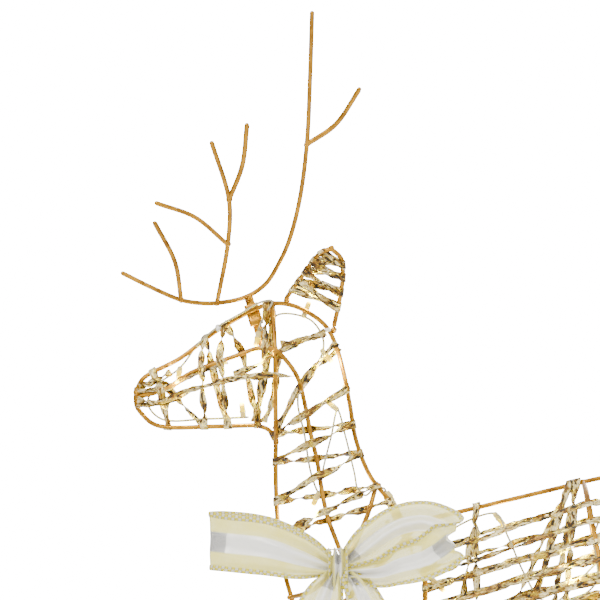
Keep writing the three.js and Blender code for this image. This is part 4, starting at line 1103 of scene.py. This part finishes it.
def make_foil(sizes):
    """Foil strips wound round the head, neck, body, ears, legs and tail."""
    clear = sizes.wire_radius + LAYER
    width, thick = sizes.strip_width, sizes.strip_thickness

    def wind(name, windings, body, nodes, twist=0.85, laid=(), span=26, slim=1.0):
        rng = np.random.default_rng(len(name) * 7 + 3)
        bands = [wound_path(stops, clear + lift, rng, span, twist) for stops, lift in windings]
        bands += [laid_rows(points, rng, 2) for points in laid]
        parts = [foil_band(rows, width * slim, thick, rng) for rows in bands]
        make_piece(name, parts, finish_of("foil"), body, nodes, 40)

    mirrored = [[(x, -y, z) for x, y, z in points] for points in LAID]
    wind("foil_head", [(head_stops(), 0)], "head_neck", ["strip_head"], laid=LAID + mirrored)
    nape_bands = [
        [(-203.5, -1, 823), (-182, -31, 862), (-147.7, -9, 903)],
        [(-203, 1, 820), (-178, 31, 866), (-146, 8, 898)],
    ]
    wind("foil_neck", [(neck_stops(), 0)], "head_neck", ["strip_neck"], laid=nape_bands)
    for name in SIDES:
        windings = [(body_stops(name, 0), 0), (body_stops(name, 1), LAYER)]
        wind(f"foil_body_{name}", windings, "body", [f"strip_body_{name}"], span=60, slim=0.82)
        ear = [f"ear_front_{name}", f"ear_back_{name}"]
        wind(f"foil_ear_{name}", [(coil_stops(ear, 4, 0.14, 0.84), 0)], "head_neck",
             [f"strip_ear_{name}"], 0.6, span=18)
        for end in LEGS:
            wires = [f"{end}_fore_{name}", f"{end}_aft_{name}"]
            node = f"leg_{end}_{name}"
            wind(f"foil_{node}", [(coil_stops(wires, 9, 0.08, 0.89), 0)], node,
                 [f"strip_{node}"], 0.4, span=18)
    wind("foil_girth", [(GIRTH_STOPS, 2 * LAYER)], "body", ["strip_girth"], span=60)
    tail = coil_stops(["tail_top", "tail_low"], 3, 0.2, 0.8)
    wind("foil_tail", [(tail, 0)], "body", ["strip_tail"], 0.1, span=10)


# --- Lamp string --------------------------------------------------------------------------------

CABLE_STEP = 1.5
LIGHT_AHEAD = 22
GLOW_RADIUS = 0.004
HEAD_ROUTE = [
    (-114, 9.5, 771), (-122, 9, 765), (-129, 5, 771), (-132, 2, 785), (-140, 5, 818),
    (-147, 3, 842), (-153, -15, 818), (-160, -26, 790), (-164, -29, 768), (-171, -26, 785),
    (-177, -24, 820), (-183, -24, 850), (-178, -20, 872), (-163, -10, 888), (-160, -4, 905),
    (-169, -4, 921), (-181, -3, 927), (-200, -3, 928), (-218, -14, 913), (-214, -14, 925),
    (-206, -13.5, 940), (-215, -13.5, 939.5), (-235, -13.3, 928.5), (-254.8, -13.3, 917),
    (-272, -11, 902), (-289, -4, 880), (-311, -3, 863), (-318, 0, 848), (-306, 2, 834),
    (-264, 3, 834), (-228, 3, 835.5),
]
BODY_ROUTE = [
    (-81, 6, 717), (-76, -30, 700), (-62, -60, 690), (-57, -50, 716), (-40, -12, 737),
    (-6, -6, 749), (6, -36, 728), (21, -66, 694), (36, -78, 672), (62, -82, 672),
    (84, -79, 687), (84, -54, 733), (112, -10, 772), (152, -6, 782), (188, -28, 765),
    (204, -58, 735), (212, -72, 690), (240, -56, 640), (268, -20, 618), (280, 24, 636),
    (250, 54, 684), (205, 62, 724), (150, 54, 755), (96, 69.5, 712), (40, 70, 660),
    (-20, 62, 640), (-56, 50, 615), (-50, 30, 590), (-20, 12, 578), (60, 8, 574),
    (140, 9, 587), (180, 9, 596), (191, 9, 598),
]
HEAD_LAMPS = [
    ((-147, 3, 842), (-0.75, 0.2, 0.6)), ((-164, -29, 768), (-0.35, 0.55, -0.75)),
    ((-161.5, -7, 896), (0.6, -0.35, -0.7)), ((-178, -3, 925.5), (0.35, 0, 0.9)),
    ((-218, -14, 912), (-0.2, -0.5, -0.85)), ((-289, -4, 880), (-0.1, -0.75, -0.6)),
    ((-232, 3, 835.5), (-0.1, -0.5, 0.85)),
]
BODY_LAMPS = [
    ((-62, -60, 690), (0.7, -0.1, -0.7)), ((-6, -6, 749), (0.6, 0.3, -0.75)),
    ((84, -79, 687), (-0.9, 0.1, 0.3)), ((212, -72, 690), (-0.9, 0.3, 0)),
    ((96, 69.5, 712), (-0.9, -0.3, 0.1)),
]
HOLDER = [(0.3, -0.8), (1.6, -0.6), (2.2, 0.2), (2.5, 1.4), (2.5, 4.9), (2.85, 5.1), (2.85, 6.7),
          (2.6, 7), (0.3, 7)]
LAMP = [(0.3, 6.6), (2.2, 6.8), (2.45, 7.6), (2.45, 12.6), (2.2, 13.9), (1.5, 14.9), (0.7, 15.3),
        (0.1, 15.35)]


def beside_nape(distance):
    """A place on the line that the two halves of the string's connector share."""
    return np.array([-97, 9.25, 754]) + NECK_DOWN * distance


def make_string(sizes):
    """The clear cable through the head and the body, lamp holders, the connector between head and
    body, the inlet at the belly, and small clips."""
    radius = sizes.cable_radius
    ends = {
        "head": [tuple(beside_nape(-16.2)), tuple(beside_nape(-19)), *HEAD_ROUTE],
        "body": [tuple(beside_nape(21.2)), tuple(beside_nape(29)), *BODY_ROUTE],
    }
    for half, body, lamps in (("head", "head_neck", HEAD_LAMPS), ("body", "body", BODY_LAMPS)):
        path = line(ends[half], CABLE_STEP)
        make_piece(f"cable_{half}", [tube(path, radius, 10)], finish_of("cable"), body,
                   [f"light_cable_{half}"])
        holders = [turned(HOLDER, foot, up, 16) for foot, up in lamps]
        make_piece(f"lamp_holders_{half}", holders, finish_of("holder"), body)
    plug = [(0.3, 16), (3.0, 15.9), (3.6, 14.5), (4.0, 12.5), (4.5, 11), (4.5, 9.4), (4.1, 9),
            (4.1, 8.2), (4.5, 7.8), (4.5, 6.4), (4.1, 6), (4.1, 5.2), (4.5, 4.8), (4.5, 1.4),
            (4.2, 1), (2, 1), (2, -7.6), (1.6, -8), (0.3, -8)]
    plug = turned(plug[::-1], beside_nape(0), -NECK_DOWN, 28)
    make_piece("string_plug_moulded", [plug], finish_of("holder"), "head_neck",
               ["string_plug"])
    socket = [(0.3, 0), (3.0, 0.1), (4.0, 3), (4.5, 6), (4.5, 9), (4.1, 9.4), (4.1, 10.2),
              (4.5, 10.6), (4.5, 21.2), (4.2, 21.65), (2.75, 21.65), (2.55, 21.3), (2.55, 11),
              (0.3, 11)]
    socket = turned(socket, beside_nape(21), -NECK_DOWN, 28)
    make_piece("string_socket_moulded", [socket], finish_of("holder"), "body",
               ["string_socket"])
    inlet = [(0.3, 0), (3.6, 0), (4.4, 0.8), (4.5, 3), (4.5, 15), (4.2, 16), (4.5, 17), (4.5, 22),
             (4.2, 22.4), (3.3, 22.4), (3.3, 14), (0.3, 14)]
    inlet = turned(inlet, (190, 9, 598), (22, 0, 4.5), 28)
    make_piece("string_inlet_moulded", [inlet], finish_of("holder"), "body",
               ["string_inlet"])
    clips = [
        pebble((-254.8, -11.5, 916), (2.6, 3.2, 3.4), 0.05, 3),
        pebble((-156, -9.5, 914), (3.2, 3.0, 2.2), 0.05, 4),
        pebble((-141, 2.5, 862), (2.4, 2.6, 3.0), 0.05, 5),
    ]
    make_piece("cable_clips", clips, finish_of("clip"), "head_neck")


def make_lamps(sizes):
    """Small lit lamps, each with a warm light beside it."""
    groups = (("head", "head_neck", HEAD_LAMPS, 1), ("body", "body", BODY_LAMPS, 8))
    for half, body, lamps, first in groups:
        parts = [turned(LAMP, foot, up, 16) for foot, up in lamps]
        nodes = [f"lamp_{first + i:02d}" for i in range(len(lamps))]
        make_piece(f"lamps_{half}", parts, finish_of("lamp"), body, nodes)
        for i, (foot, up) in enumerate(lamps):
            lamp = bpy.data.lights.new(f"lamp_light_{half}_{i}", "POINT")
            lamp.energy = sizes.glow_power
            lamp.color = bpy.context.scene.reindeer_colours.lamp_light
            lamp.shadow_soft_size = GLOW_RADIUS
            holder = bpy.data.objects.new(lamp.name, lamp)
            holder.location = (np.array(foot, float) + unit(up) * LIGHT_AHEAD) * MM
            bpy.context.scene.collection.objects.link(holder)
            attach(holder, body)


# --- Bow ----------------------------------------------------------------------------------------

RIBBON_STEP = 2.2
RIBBON_PLACES = 41
FOLDS = 3
EDGE_IN = 0.0023
EDGE_HALF = 0.0025
EDGE_THIN = 0.00045
BEAD_HEIGHT = 0.0005
CLOTH = 0.0003
LEFT_LOOP = [
    (-152, -70, 702, 0, 0, 1, 7), (-175, -66, 712, 0, 0, 1, 17), (-210, -64, 722, 0, 0, 1, 24),
    (-245, -65, 726, 0, 0.05, 1, 25.5), (-261, -76, 725, 0, 0.05, 1, 26),
    (-246, -89, 723, 0, 0, 1, 25.5), (-212, -92, 719, 0, 0.1, 1, 25),
    (-178, -88, 709, 0, 0.1, 1, 19), (-152, -80, 700, 0, 0, 1, 7),
]
RIGHT_LOOP = [
    (-142, -72, 704, 0, 0, 1, 8), (-120, -68, 720, -0.2, 0.1, 1, 18),
    (-95, -72, 737, 0, 0.3, 1, 21), (-68, -80, 741, 0, 0.3, 1, 21),
    (-47, -92, 728, 0, 0.2, 1, 21.5), (-66, -104, 711, 0, 0.2, 1, 20),
    (-91, -102, 703, 0, 0.1, 1, 18), (-108, -92, 697, 0, 0, 1, 14), (-138, -82, 696, 0, 0, 1, 8),
]
LEFT_TAIL = [
    (-150, -84, 697, 1, 0, 0.3, 7), (-156, -88, 683, 1, 0.1, 0.25, 15),
    (-163, -88, 664, 1, 0.1, 0.2, 21), (-171, -86, 640, 1, 0.1, 0.15, 23),
    (-178, -84, 614, 1, 0.1, 0.1, 24),
]
RIGHT_TAIL = [
    (-141, -84, 697, 1, 0, -0.3, 7), (-130, -90, 684, 1, 0, -0.25, 13),
    (-120, -92, 664, 1, 0, -0.2, 17), (-113, -90, 640, 1, 0, -0.15, 21),
    (-106, -88, 612, 1, 0, -0.1, 24),
]
KNOT = (-146.8, -77, 700)


def knot_rows():
    """The short band round the bow's middle: an oval in the plane of y and z, a little past one
    whole turn."""
    angle = np.radians(np.linspace(90, 465, 15))
    y = KNOT[1] + (11.2 + 0.02 * np.degrees(angle - angle[0]) / 10) * np.cos(angle)
    z = KNOT[2] + (15.6 + 0.02 * np.degrees(angle - angle[0]) / 10) * np.sin(angle)
    ones = np.ones_like(angle)
    return np.stack([KNOT[0] * ones, y, z, ones, 0 * ones, 0.12 * ones, 8.5 * ones], axis=1)


def ribbon_sheet(rows, width, fork=0.0, seed=0):
    """A ribbon through rows of place, direction of its width and half its drawn-in width. Across
    it v runs from -1 to 1: place = middle + v half across + h normal, where h is a wave of three
    folds across, as high as keeps the ribbon's own width: A = (w / 3) / 2 pi sqrt(2 (r^2 - 1)),
    with r its real width over its drawn-in width w. fork draws the end back at its middle."""
    rng = np.random.default_rng(seed)
    rows = smooth_rows(rows, RIBBON_STEP)
    middle, across, half = rows[:, :3], rows[:, 3:6], rows[:, 6:7]
    tangent = unit(np.gradient(middle, axis=0))
    across = unit(across - dot(across, tangent) * tangent)
    normal = np.cross(tangent, across)
    run = np.linalg.norm(np.diff(middle, axis=0), axis=1)
    run = np.concatenate([[0], np.cumsum(run)])[:, None]
    share = run / run[-1]
    v = np.linspace(-1, 1, RIBBON_PLACES)[None]
    spread = np.maximum(width / MM / (2 * half), 1.0001)
    folds = (2 * half / FOLDS) / (2 * np.pi) * np.sqrt(2 * (spread**2 - 1))
    phase = rng.uniform(*ANY_PHASE, 4)
    drift = 0.8 * np.sin(share * 5 + phase[0])
    height = folds * np.sin(FOLDS * np.pi * v + phase[1] + drift)
    height = height + 0.7 * np.sin(run / 9 + 1.7 * v + phase[2]) * np.sin(np.pi * share)
    height = height + 0.25 * np.sin(run / 3.1 - 3.2 * v + phase[3])
    back = fork * np.clip((share - 0.8) / 0.2, 0, 1) * (1 - np.abs(v))
    place = middle[:, None] + (v * half)[..., None] * across[:, None]
    place = place + height[..., None] * normal[:, None] - back[..., None] * tangent[:, None]
    pattern = np.stack(np.broadcast_arrays(run * MM, (v + 1) / 2), axis=-1)
    return place * MM, pattern, float(run[-1, 0]) * MM


def beaded_edge(edge, inner):
    """The ribbon's wired edge, from a line along the ribbon's edge and one farther in: an oval
    tube, 2.5 mm to each side of a line 2.3 mm in from the edge, whose half thickness is 0.45 mm +
    0.5 mm |sin| of its length, one bead each 3.2 mm. Around it v runs from 0 to 1."""
    both = smooth_rows(np.hstack([edge, inner]) / MM, 0.6) * MM
    inward = unit(both[:, 3:] - both[:, :3])
    path = both[:, :3] + inward * EDGE_IN
    tangent = unit(np.gradient(path, axis=0))
    inward = unit(inward - dot(inward, tangent) * tangent)
    normal = np.cross(tangent, inward)
    run = np.linalg.norm(np.diff(path, axis=0), axis=1)
    run = np.concatenate([[0], np.cumsum(run)])[:, None]
    angle = np.linspace(0, 2 * np.pi, 12, endpoint=False)[None]
    bead = np.abs(np.sin(np.pi * run / EDGE_CELL))
    rings = path[:, None] + (EDGE_HALF * np.cos(angle) + 0 * run)[..., None] * inward[:, None]
    rings = rings + ((EDGE_THIN + BEAD_HEIGHT * bead) * np.sin(angle))[..., None] * normal[:, None]
    pattern = np.stack(np.broadcast_arrays(run, angle / (2 * np.pi)), axis=-1)
    return skin(rings, pattern)


def ribbon_piece(name, rows, node, width, fork=0.0, seed=0):
    """One length of ribbon with its two edges."""
    place, pattern, length = ribbon_sheet(rows, width, fork, seed)
    count, sides = place.shape[:2]
    index = np.arange(count * sides).reshape(count, sides)
    quads = [index[:-1, :-1], index[:-1, 1:], index[1:, 1:], index[1:, :-1]]
    quads = np.stack(quads, axis=-1).reshape(-1, 4)
    surface = (place.reshape(-1, 3), quads, [], pattern.reshape(-1, 2))
    piece = make_piece(name, [surface], finish_of("ribbon"), "head_neck", [node], 60)
    wall = piece.modifiers.new("cloth thickness", "SOLIDIFY")
    wall.thickness, wall.offset = CLOTH, 0
    bands = [beaded_edge(place[:, 0], place[:, 3]), beaded_edge(place[:, -1], place[:, -4])]
    edges = make_piece(f"{name}_edges", bands, finish_of("edge"), "head_neck")


def make_bow(sizes):
    """A bow of wired ribbon on the left of the neck: two loops, two tails, the band round its
    middle, and the wire tie that holds it to the cheek wire."""
    width = sizes.ribbon_width
    ribbon_piece("bow_knot_band", knot_rows(), "bow_knot",
                 width, seed=5)
    ribbon_piece("bow_loop_left_ribbon", LEFT_LOOP, "bow_loop_left", width,
                 seed=1)
    ribbon_piece("bow_loop_right_ribbon", RIGHT_LOOP, "bow_loop_right",
                 width, seed=2)
    ribbon_piece("bow_tail_left_ribbon", LEFT_TAIL, "bow_tail_left", width, 14,
                 seed=3)
    ribbon_piece("bow_tail_right_ribbon", RIGHT_TAIL, "bow_tail_right", width,
                 14, seed=4)
    low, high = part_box("bow_tie")
    centre = (np.array(low) + np.array(high)) / 2
    half = (np.array(high) - np.array(low)) / 2 - 0.0008
    angle = np.linspace(0, 2 * np.pi, 60)[:, None]
    thin = int(np.argmin(half))
    first, second = [axis for axis in range(3) if axis != thin]
    ring = np.zeros((60, 3)) + centre
    ring[:, first] += half[first] * np.cos(angle[:, 0])
    ring[:, second] += half[second] * np.sin(angle[:, 0])
    ring[:, thin] += 0.0004 * np.linspace(-1, 1, 60)
    make_piece("bow_tie_wire", [tube(ring, 0.0007, 8)], finish_of("zinc"), "head_neck",
               ["bow_tie"])


# --- Stage --------------------------------------------------------------------------------------

BACKDROP = 20.0
BACKDROP_VEILED = 3
FLOOR_SIDES = 96


def make_world():
    """A white backdrop to the eye, dimmer through sheer cloth, and a soft studio for light: bright
    above, grey at the horizon, so that metal shows dark and light."""
    world = bpy.data.worlds.new("studio")
    bpy.context.scene.world = world
    world.use_nodes = True
    tree = world.node_tree
    tree.nodes.clear()
    output = add_node(tree, "ShaderNodeOutputWorld")
    place = add_node(tree, "ShaderNodeTexCoord").outputs["Generated"]
    height = add_node(tree, "ShaderNodeSeparateXYZ", {0: place}).outputs["Z"]
    level = maths(tree, "MULTIPLY_ADD", height, 0.5)
    level.node.inputs[2].default_value = 0.5
    tone = ramp(tree, level, [(0.0, 0.5), (0.40, 0.22), (0.50, 0.10), (0.62, 0.55), (0.8, 1.0)])
    lit = add_node(tree, "ShaderNodeBackground", {"Color": tone, "Strength": 2.0})
    path = add_node(tree, "ShaderNodeLightPath")
    through = maths(tree, "MINIMUM", path.outputs["Transparent Depth"], 1.0)
    dimmed = maths(tree, "MULTIPLY", through, BACKDROP - BACKDROP_VEILED)
    strength = maths(tree, "SUBTRACT", BACKDROP, dimmed)
    white = add_node(tree, "ShaderNodeBackground", {"Strength": strength})
    white.inputs["Color"].default_value = (1, 1, 1, 1)
    ray = path.outputs["Is Camera Ray"]
    mixed = add_node(tree, "ShaderNodeMixShader", {0: ray, 1: lit.outputs[0], 2: white.outputs[0]})
    tree.links.new(mixed.outputs[0], output.inputs[0])


def area_light(name, place, target, size, power):
    """A soft square light that looks at a place."""
    data = bpy.data.lights.new(name, "AREA")
    data.size, data.energy, data.color = size, power, (1.0, 0.95, 0.86)
    light = bpy.data.objects.new(name, data)
    light.location = place
    aim = Vector(target) - Vector(place)
    light.rotation_euler = aim.to_track_quat("-Z", "Y").to_euler()
    bpy.context.scene.collection.objects.link(light)


def make_stage(sizes):
    """Pale floor, white backdrop, soft lights and a camera that looks at the head from the left."""
    angle = np.linspace(0, 2 * np.pi, FLOOR_SIDES, endpoint=False)[None, :, None]
    ray = np.concatenate([np.cos(angle), np.sin(angle), 0 * angle], axis=2)
    radius = np.array([0.05, 0.5, 1.5, 3.0])[:, None, None]
    places, quads, _, _ = skin(radius[::-1] * ray - (0, 0, 0.0005))
    mesh = bpy.data.meshes.new("floor")
    faces = quads.tolist() + [list(range(len(places) - FLOOR_SIDES, len(places)))]
    mesh.from_pydata(places.tolist(), [], faces)
    mesh.materials.append(finish_of("floor"))
    floor = bpy.data.objects.new("floor", mesh)
    bpy.context.scene.collection.objects.link(floor)
    make_world()
    target = (-0.1, 0, 0.85)
    area_light("key_light", (-1.6, -2.6, 2.6), target, 1.2, 115)
    area_light("fill_light", (2.2, -2.2, 1.4), target, 1.6, 40)
    area_light("rim_light", (0.8, 2.6, 2.4), target, 1.4, 45)
    camera = bpy.data.cameras.new("camera")
    camera.lens, camera.sensor_width = sizes.camera_lens, 36
    camera.clip_start, camera.clip_end = 0.1, 200
    eye = bpy.data.objects.new("camera", camera)
    eye.location = (-0.181, -20, 0.941)
    eye.rotation_euler = (math.radians(90), 0, 0)
    bpy.context.scene.collection.objects.link(eye)
    bpy.context.scene.camera = eye


# --- Settings, operators and panel --------------------------------------------------------------


def length_setting(name, about, default, low, high):
    """A size in metres that a user may change."""
    return bpy.props.FloatProperty(name=name, description=about, default=default, min=low,
                                   max=high, unit="LENGTH", subtype="DISTANCE", precision=4)


def colour_setting(name, about, default):
    """A colour that a user may change."""
    return bpy.props.FloatVectorProperty(name=name, description=about, default=default, size=3,
                                         min=0, max=1, subtype="COLOR")


class ReindeerSizes(bpy.types.PropertyGroup):
    wire_radius: length_setting("Wire radius", "Half the thickness of the frame wire",
                                0.0021, 0.0015, 0.003)
    strip_width: length_setting("Strip width", "Width of the foil strip", 0.0076, 0.004, 0.01)
    strip_thickness: length_setting("Strip thickness", "Thickness of the foil strip",
                                    0.0003, 0.0001, 0.0006)
    cable_radius: length_setting("Cable radius", "Half the thickness of the lamp cable",
                                 0.001, 0.0005, 0.002)
    ribbon_width: length_setting("Ribbon width", "Width of the bow's ribbon",
                                 0.052, 0.03, 0.07)
    lamp_strength: bpy.props.FloatProperty(
        name="Lamp strength", description="Brightness of the lit lamps", default=0.8, min=0,
        max=60)
    glow_power: bpy.props.FloatProperty(
        name="Glow power", description="Light that each lamp throws on the strips near it",
        default=0.22, min=0, max=1, unit="POWER")
    camera_lens: bpy.props.FloatProperty(
        name="Camera lens", description="Focal length of the camera, in millimetres",
        default=1333, min=50, max=2000)


class ReindeerColours(bpy.types.PropertyGroup):
    wire_light: colour_setting("Wire", "Light tone of the wire's paint", (0.43, 0.20, 0.003))
    # Painted shade: a darker copy of the wire's paint, mixed into it at random.
    wire_painted_shade: colour_setting("Wire shade", "Dark tone of the wire's paint", (0.17, 0.065, 0.001))
    foil_cream: colour_setting("Foil", "Light tone of the foil", (0.74, 0.60, 0.24))
    foil_gold: colour_setting("Foil gold", "Gold tone of the foil", (0.50, 0.35, 0.015))
    # Painted reflection: the red-brown in the foil's folds, not a colour of the film.
    foil_red_brown_reflection: colour_setting("Foil folds", "Red-brown tone in folds", (0.21, 0.085, 0.003))
    cable: colour_setting("Cable", "Colour of the clear cable", (0.44, 0.40, 0.24))
    # Painted glow: cream holder plastic tinted yellow as if lit by the lamps, also used on the
    # connectors.
    holder: colour_setting("Holders", "Colour of lamp holders and connectors",
                           (0.80, 0.66, 0.24))
    lamp_light: colour_setting("Lamp light", "Colour of the lamps' light", (0.95, 0.88, 0.0))
    ribbon_cream: colour_setting("Ribbon", "Colour of the sheer ribbon", (0.95, 0.88, 0.14))
    edge_gold: colour_setting("Ribbon edge", "Gold squares of the edge", (0.80, 0.68, 0.0))


class BuildHeadWires(bpy.types.Operator):
    """Bend the wires of the head, neck and ears"""
    bl_idname, bl_label = "reindeer.head_wires", "Head and neck wires"

    def execute(self, context):
        make_head_wires(context.scene.reindeer_sizes)
        return {"FINISHED"}


class BuildAntlers(bpy.types.Operator):
    """Bend the antlers and make their socket and stem"""
    bl_idname, bl_label = "reindeer.antlers", "Antlers and socket"

    def execute(self, context):
        make_antlers(context.scene.reindeer_sizes)
        return {"FINISHED"}


class BuildBodyWires(bpy.types.Operator):
    """Bend the wires of the body and tail and make the leg brackets"""
    bl_idname, bl_label = "reindeer.body_wires", "Body and tail wires"

    def execute(self, context):
        make_body_wires(context.scene.reindeer_sizes)
        return {"FINISHED"}


class BuildLegs(bpy.types.Operator):
    """Make the four folding legs"""
    bl_idname, bl_label = "reindeer.legs", "Legs"

    def execute(self, context):
        make_legs(context.scene.reindeer_sizes)
        return {"FINISHED"}


class BuildHardware(bpy.types.Operator):
    """Make sleeves, thumbscrews, hinge bolts and wing nuts"""
    bl_idname, bl_label = "reindeer.hardware", "Sleeves, bolts and nuts"

    def execute(self, context):
        make_hardware()
        return {"FINISHED"}


class BuildFoil(bpy.types.Operator):
    """Wind the foil strips round the frame"""
    bl_idname, bl_label = "reindeer.foil", "Foil strips"

    def execute(self, context):
        make_foil(context.scene.reindeer_sizes)
        return {"FINISHED"}


class BuildString(bpy.types.Operator):
    """Lay the lamp cable, its holders, connectors and clips"""
    bl_idname, bl_label = "reindeer.lamp_string", "Lamp string"

    def execute(self, context):
        make_string(context.scene.reindeer_sizes)
        return {"FINISHED"}


class BuildLamps(bpy.types.Operator):
    """Put a lit lamp in each holder"""
    bl_idname, bl_label = "reindeer.lamps", "Lamps"

    def execute(self, context):
        make_lamps(context.scene.reindeer_sizes)
        return {"FINISHED"}


class BuildBow(bpy.types.Operator):
    """Tie the ribbon bow on the neck"""
    bl_idname, bl_label = "reindeer.bow", "Ribbon bow"

    def execute(self, context):
        make_bow(context.scene.reindeer_sizes)
        return {"FINISHED"}


class BuildStage(bpy.types.Operator):
    """Set up the floor, backdrop, lights and camera"""
    bl_idname, bl_label = "reindeer.stage", "Stage"

    def execute(self, context):
        make_stage(context.scene.reindeer_sizes)
        return {"FINISHED"}


OPERATORS = [
    BuildStage, BuildHeadWires, BuildAntlers, BuildBodyWires, BuildLegs, BuildHardware, BuildFoil,
    BuildString, BuildLamps, BuildBow,
]


class ReindeerPanel(bpy.types.Panel):
    """Lists the reindeer's sizes, colours and pieces"""
    bl_idname, bl_label = "VIEW3D_PT_reindeer", "Light Up Yard Reindeer"
    bl_space_type, bl_region_type, bl_category = "VIEW_3D", "UI", "Reindeer"

    def draw(self, context):
        for settings in (context.scene.reindeer_sizes, context.scene.reindeer_colours):
            box = self.layout.box()
            for key in settings.__annotations__:
                box.prop(settings, key)
        for operator in OPERATORS:
            self.layout.operator(operator.bl_idname)


CLASSES = [ReindeerSizes, ReindeerColours, *OPERATORS, ReindeerPanel]


def register():
    for item in CLASSES:
        bpy.utils.register_class(item)
    bpy.types.Scene.reindeer_sizes = bpy.props.PointerProperty(type=ReindeerSizes)
    bpy.types.Scene.reindeer_colours = bpy.props.PointerProperty(type=ReindeerColours)


def unregister():
    del bpy.types.Scene.reindeer_colours
    del bpy.types.Scene.reindeer_sizes
    for item in reversed(CLASSES):
        bpy.utils.unregister_class(item)


def main():
    """Builds everything in order."""
    register()
    for operator in OPERATORS:
        group, name = operator.bl_idname.split(".")
        getattr(getattr(bpy.ops, group), name)()


if __name__ == "__main__":
    main()
